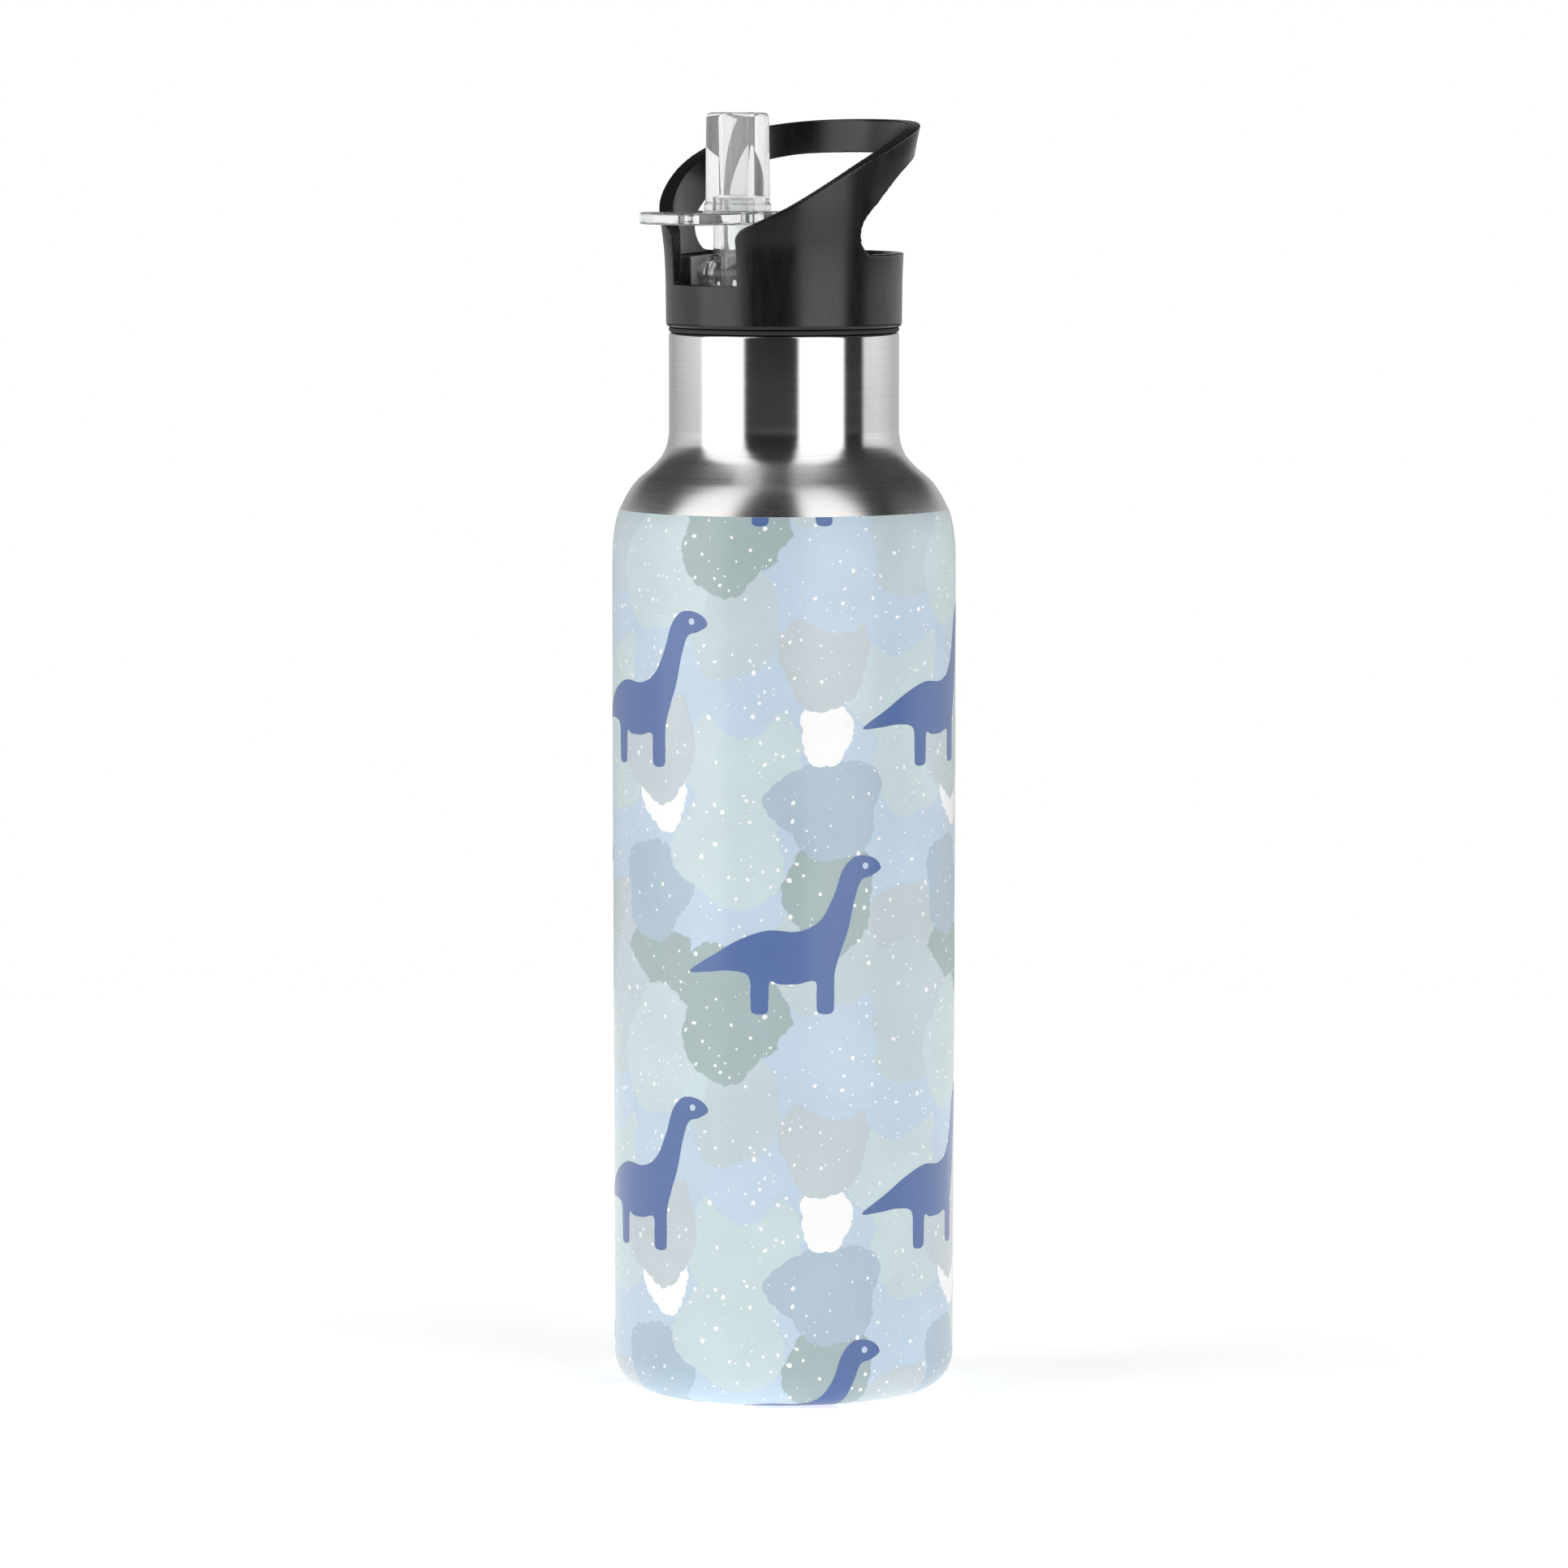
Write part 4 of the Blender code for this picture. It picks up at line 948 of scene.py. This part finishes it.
seal = carve("port_ring", bar("ps", 4.45, LID_Z + TROUGH_H - 0.05, PZ - 4.4, at=(0, PY, 0), seg=72, edge=0.25), [
    ("DIFFERENCE", bar("pr", 4.52, -12, 12, axis="X", at=(0, PY, PZ), seg=96)),
    ("DIFFERENCE", bar("pb2", BORE, LID_Z - 2.0, PZ, at=(0, PY, 0), seg=64))], WHITE)
place(seal, "lid", "port_seal", slot="port_silicone")

hi = PLUG_LO - 0.5
lo = PLUG_LO - 17.0
ribs = []
for k in range(5):
    z = hi - 3.2 - 2.3 * k
    ribs += [(4.7, z + 0.45, 0.2), (4.45, z + 0.15, 0.2), (4.45, z - 0.15, 0.2), (4.7, z - 0.45, 0.2)]
collar = turn("straw_sleeve", round_corners([(4.6, hi, 0.4)] + ribs + [(4.6, lo, 0.5), (3.46, lo, 0.2), (3.46, hi, 0.2)]),
              WHITE, 72, at=(0, PY))
place(collar, "lid", "straw_collar", slot="collar_silicone")

straw = turn("drinking_straw", round_corners([(3.33, PLUG_LO - 9.4, 0.15), (3.33, 10.0), (2.75, 10.0),
                                              (2.75, PLUG_LO - 9.4, 0.15)]), [], 64, at=(0, PY))
foot = prism("straw_foot", [(PY - 8, 7.0), (PY + 8, 7.0), (PY + 8, 10.8), (PY - 8, 16.4)], 8.0)
straw = carve("drinking_straw", straw, [("DIFFERENCE", foot)], STRAW)
place(straw, "lid", "straw", slot="straw_plastic")

# ------------------------------------------------------------------ the spout
up = lambda o: (o.data.transform(Matrix.Translation(Vector((0, PY * MM, PZ * MM)))), o)[1]
TAB_LO, TAB_HI, TAB_REACH, TAB_X, MOUTH_TOP, SPIGOT = 10.75, 13.35, 21.6, 8.8, 34.1, 2.6
barrel = bar("br", 4.38, -6.4, 6.4, axis="X", seg=128, edge=0.6)
leg = bar("lg", 1.0, 0.0, TAB_HI - 0.4, seg=96, squeeze=(6.0, 4.2))
hubs = bar("hb", 2.48, -10.1, 10.1, axis="X", seg=96, edge=0.3)
tab = block("tb", (-TAB_X, -TAB_REACH, TAB_LO), (TAB_X, 6.2, TAB_HI), round_z=2.6, edge=0.55)
spig = bar("sp", 4.0, TAB_HI - 1.0, TAB_HI + SPIGOT, seg=96, edge=0.3)
spout = carve("spout_moulding", barrel, [
    ("UNION", hubs), ("UNION", leg), ("UNION", tab), ("UNION", spig),
    ("DIFFERENCE", bar("ch", BORE, -8.0, 30.0, seg=64)),
    ("DIFFERENCE", bar("s1", 1.67, -12.0, -4.2, axis="X", seg=64)),
    ("DIFFERENCE", bar("s2", 1.67, 4.2, 12.0, axis="X", seg=64))],
    CLEAR, voxel=0.13, smooth=8)
place(up(spout), "spout", "spout_body", slot="spout_clear")


def ovals(name, rings, mat, seg=144):
    """Rings of (half width x, half width y, z) in mm joined into one closed skin; the last joins the first."""
    verts_, faces_ = [], []
    for rx, ry, z in rings:
        for k in range(seg):
            a = 2 * math.pi * k / seg
            verts_.append((rx * math.cos(a) * MM, ry * math.sin(a) * MM, z * MM))
    n = len(rings)
    for j in range(n):
        for k in range(seg):
            p, q = j * seg, ((j + 1) % n) * seg
            faces_.append((p + k, q + k, q + (k + 1) % seg, p + (k + 1) % seg))
    ob = make(name, verts_, faces_, mat)
    bm = bmesh.new()
    bm.from_mesh(ob.data)
    bmesh.ops.recalc_face_normals(bm, faces=bm.faces)
    bm.to_mesh(ob.data)
    bm.free()
    ob.data.set_sharp_from_angle(angle=math.radians(50))
    return ob


def oval_line(points):
    """(x half, y half, z, fillet) corners; both half widths are rounded alike."""
    a = round_corners([(p[0], p[2], p[3] if len(p) > 3 else 0.0) for p in points])
    b = round_corners([(p[1], p[2], p[3] if len(p) > 3 else 0.0) for p in points])
    return [(p[0], q[0], (p[1] + q[1]) / 2) for p, q in zip(a, b)]


base_z = TAB_HI + 0.15
outer = [(7.9, 6.3, base_z, 0.25), (7.9, 6.3, base_z + 1.3, 0.5), (7.5, 6.1, base_z + 1.5, 0.3),
         (7.42, 6.05, base_z + 12.0), (7.3, 5.95, MOUTH_TOP, 1.3)]
inner_ = [(2.9, 2.9, MOUTH_TOP, 0.7), (2.8, 2.8, TAB_HI + SPIGOT + 0.7, 0.2), (4.15, 4.15, TAB_HI + SPIGOT + 0.3, 0.2),
          (4.15, 4.15, base_z, 0.2)]


def rounded_ring(pts):
    fine = []
    n = len(pts)
    for i, p in enumerate(pts):
        rad = p[3] if len(p) > 3 else 0.0
        if rad <= 0:
            fine.append(p[:3])
            continue
        a, b = pts[i - 1], pts[(i + 1) % n]
        va = Vector(((a[0] + a[1]) / 2 - (p[0] + p[1]) / 2, a[2] - p[2]))
        vb = Vector(((b[0] + b[1]) / 2 - (p[0] + p[1]) / 2, b[2] - p[2]))
        half = math.acos(max(-1, min(1, va.normalized().dot(vb.normalized())))) / 2
        t = min(rad / max(1e-6, math.tan(half)), va.length * 0.48, vb.length * 0.48)
        ta, tb_ = t / va.length, t / vb.length
        for j in range(8):
            s = j / 7
            # a quadratic curve from one side of the corner to the other
            w0, w1, w2 = (1 - s) ** 2, 2 * s * (1 - s), s * s
            pa = [p[k] + (a[k] - p[k]) * ta for k in range(3)]
            pb = [p[k] + (b[k] - p[k]) * tb_ for k in range(3)]
            fine.append(tuple(w0 * pa[k] + w1 * p[k] + w2 * pb[k] for k in range(3)))
    return fine


mouthpiece = ovals("mouthpiece_moulding", rounded_ring(outer + inner_), SOFT)
place(up(mouthpiece), "spout", "mouthpiece", slot="mouthpiece_clear")

# -------------------------------------------------------------- studio and camera
FLOOR_GLOW, FLOOR_R = 0.62, 0.8
n = 96
floor = make("floor", [(FLOOR_R * math.cos(2 * math.pi * k / n), FLOOR_R * math.sin(2 * math.pi * k / n), 0)
                       for k in range(n)], [tuple(range(n))], [], smooth=False)
n = Nodes("floor_pale")
n.set(Base_Color=(0.86, 0.86, 0.862, 1), Roughness=0.7)
n.b.inputs["Specular IOR Level"].default_value = 0.0
n.b.inputs["Emission Color"].default_value = (1, 1, 1, 1)
n.b.inputs["Emission Strength"].default_value = FLOOR_GLOW
grain = n.noise(n.coords((30, 30, 30)), 1.0, 4.0)
n.link(n.tint(n.span(grain, 0, 1, 0.3, 0.7), (0.855, 0.855, 0.858), (0.865, 0.865, 0.867)), n.b.inputs["Base Color"])
# seen from below, the table is left out, so that the base can be looked at
under = n.add("ShaderNodeNewGeometry")
clear_under = n.add("ShaderNodeBsdfTransparent")
either = n.add("ShaderNodeMixShader")
n.link(under.outputs["Backfacing"], either.inputs["Fac"])
n.link(n.b.outputs["BSDF"], either.inputs[1])
n.link(clear_under.outputs["BSDF"], either.inputs[2])
n.link(either.outputs[0], n.out.inputs["Surface"])
floor.data.materials.append(n.m)
floor.location.z = -0.0002

back = Vector((math.sin(AZ), -math.cos(AZ), 0))
right = Vector((math.cos(AZ), math.sin(AZ), 0))

# A ring of tall soft boxes and dark flats round the table. Bearings are degrees
# to the right of the camera's side of the table; the values are brightnesses.
RING = ((-180, 0.48), (-146, 0.56), (-110, 1.05), (-92, 1.25), (-87, 2.4), (-43, 2.4), (-39, 0.01),
        (13, 0.01), (17, 2.4), (60, 2.4), (64, 0.03), (84, 0.03), (89, 1.25), (107, 1.25), (141, 0.74), (180, 0.48))
UPPER = ((-180, 0.08), (-94, 0.08), (-87, 1.7), (-43, 1.7), (-37, 0.04), (11, 0.04), (17, 1.7), (60, 1.7),
         (66, 0.05), (180, 0.08))
TOP_LIGHT = 0.25
world = bpy.data.worlds.new("studio")
bpy.context.scene.world = world
world.use_nodes = True
wt = world.node_tree
wt.nodes.clear()


def wnode(kind, **values):
    x = wt.nodes.new(kind)
    for k, v in values.items():
        setattr(x, k, v)
    return x


def wmath(op, a, b=None, c=None, clamp=False):
    x = wnode("ShaderNodeMath", operation=op, use_clamp=clamp)
    for i, v in enumerate((a, b, c)):
        if v is None:
            continue
        if isinstance(v, (int, float)):
            x.inputs[i].default_value = v
        else:
            wt.links.new(v, x.inputs[i])
    return x.outputs[0]


tc = wnode("ShaderNodeTexCoord")


def wdot(v):
    x = wnode("ShaderNodeVectorMath", operation="DOT_PRODUCT")
    x.inputs[1].default_value = tuple(v)
    wt.links.new(tc.outputs["Generated"], x.inputs[0])
    return x.outputs["Value"]


turned_by = wmath("ARCTAN2", wdot(right), wdot(back))
fac = wmath("MULTIPLY_ADD", turned_by, 1 / (2 * math.pi), 0.5)
PEAK = max(v for _, v in RING + UPPER)


def bands(stops):
    ramp = wnode("ShaderNodeValToRGB")
    wt.links.new(fac, ramp.inputs["Fac"])
    e = ramp.color_ramp.elements
    for k, (deg, v) in enumerate(stops):
        x = e[0] if k == 0 else e[len(e) - 1] if k == len(stops) - 1 else e.new((deg + 180) / 360)
        x.position = (deg + 180) / 360
        x.color = (v / PEAK, v / PEAK, v / PEAK, 1)
    return ramp.outputs["Color"]


def rising(lo, hi, top=1.0):
    x = wnode("ShaderNodeMapRange", interpolation_type="SMOOTHSTEP")
    x.inputs["From Min"].default_value = lo
    x.inputs["From Max"].default_value = hi
    x.inputs["To Max"].default_value = top
    wt.links.new(up_z, x.inputs["Value"])
    return x.outputs["Result"]


def blended(factor, a, b):
    x = wnode("ShaderNodeMix", data_type="RGBA")
    wt.links.new(factor, x.inputs["Factor"])
    for value, socket in ((a, [q for q in x.inputs if q.name == "A" and q.type == "RGBA"][0]),
                          (b, [q for q in x.inputs if q.name == "B" and q.type == "RGBA"][0])):
        if isinstance(value, float):
            socket.default_value = (value, value, value, 1)
        else:
            wt.links.new(value, socket)
    return [q for q in x.outputs if q.type == "RGBA"][0]


up_z = wdot((0, 0, 1))
level = wmath("MULTIPLY", rising(-0.15, -0.07), wmath("SUBTRACT", 1.0, rising(0.12, 0.36)))
ring_light = blended(level, bands(UPPER), bands(RING))
studio_light = blended(rising(0.88, 1.0, 0.8), ring_light, TOP_LIGHT / PEAK)
bg_light = wnode("ShaderNodeBackground")
bg_seen = wnode("ShaderNodeBackground")
bg_light.inputs["Strength"].default_value = PEAK
wt.links.new(studio_light, bg_light.inputs["Color"])
bg_seen.inputs["Color"].default_value = (1, 1, 1, 1)
path = wnode("ShaderNodeLightPath")
mix = wnode("ShaderNodeMixShader")
wt.links.new(wmath("MAXIMUM", path.outputs["Is Camera Ray"], path.outputs["Is Transmission Ray"]), mix.inputs["Fac"])
wt.links.new(bg_light.outputs[0], mix.inputs[1])
wt.links.new(bg_seen.outputs[0], mix.inputs[2])
wt.links.new(mix.outputs[0], wnode("ShaderNodeOutputWorld").inputs["Surface"])

cam = bpy.data.cameras.new("camera")
cam.lens = 11812.0 / 1932.0 * 36.0
cam.sensor_width = 36.0
cam.clip_start, cam.clip_end = 0.1, 50.0
co = bpy.data.objects.new("camera", cam)
bpy.context.scene.collection.objects.link(co)
co.location = back * 2.037 + Vector((0, 0, 0.304))
pitch = math.radians(4.9)
look = -back * math.cos(pitch) + Vector((0, 0, -math.sin(pitch)))
co.rotation_euler = look.to_track_quat("-Z", "Y").to_euler()
bpy.context.scene.camera = co
bpy.context.scene.view_settings.view_transform = "Standard"
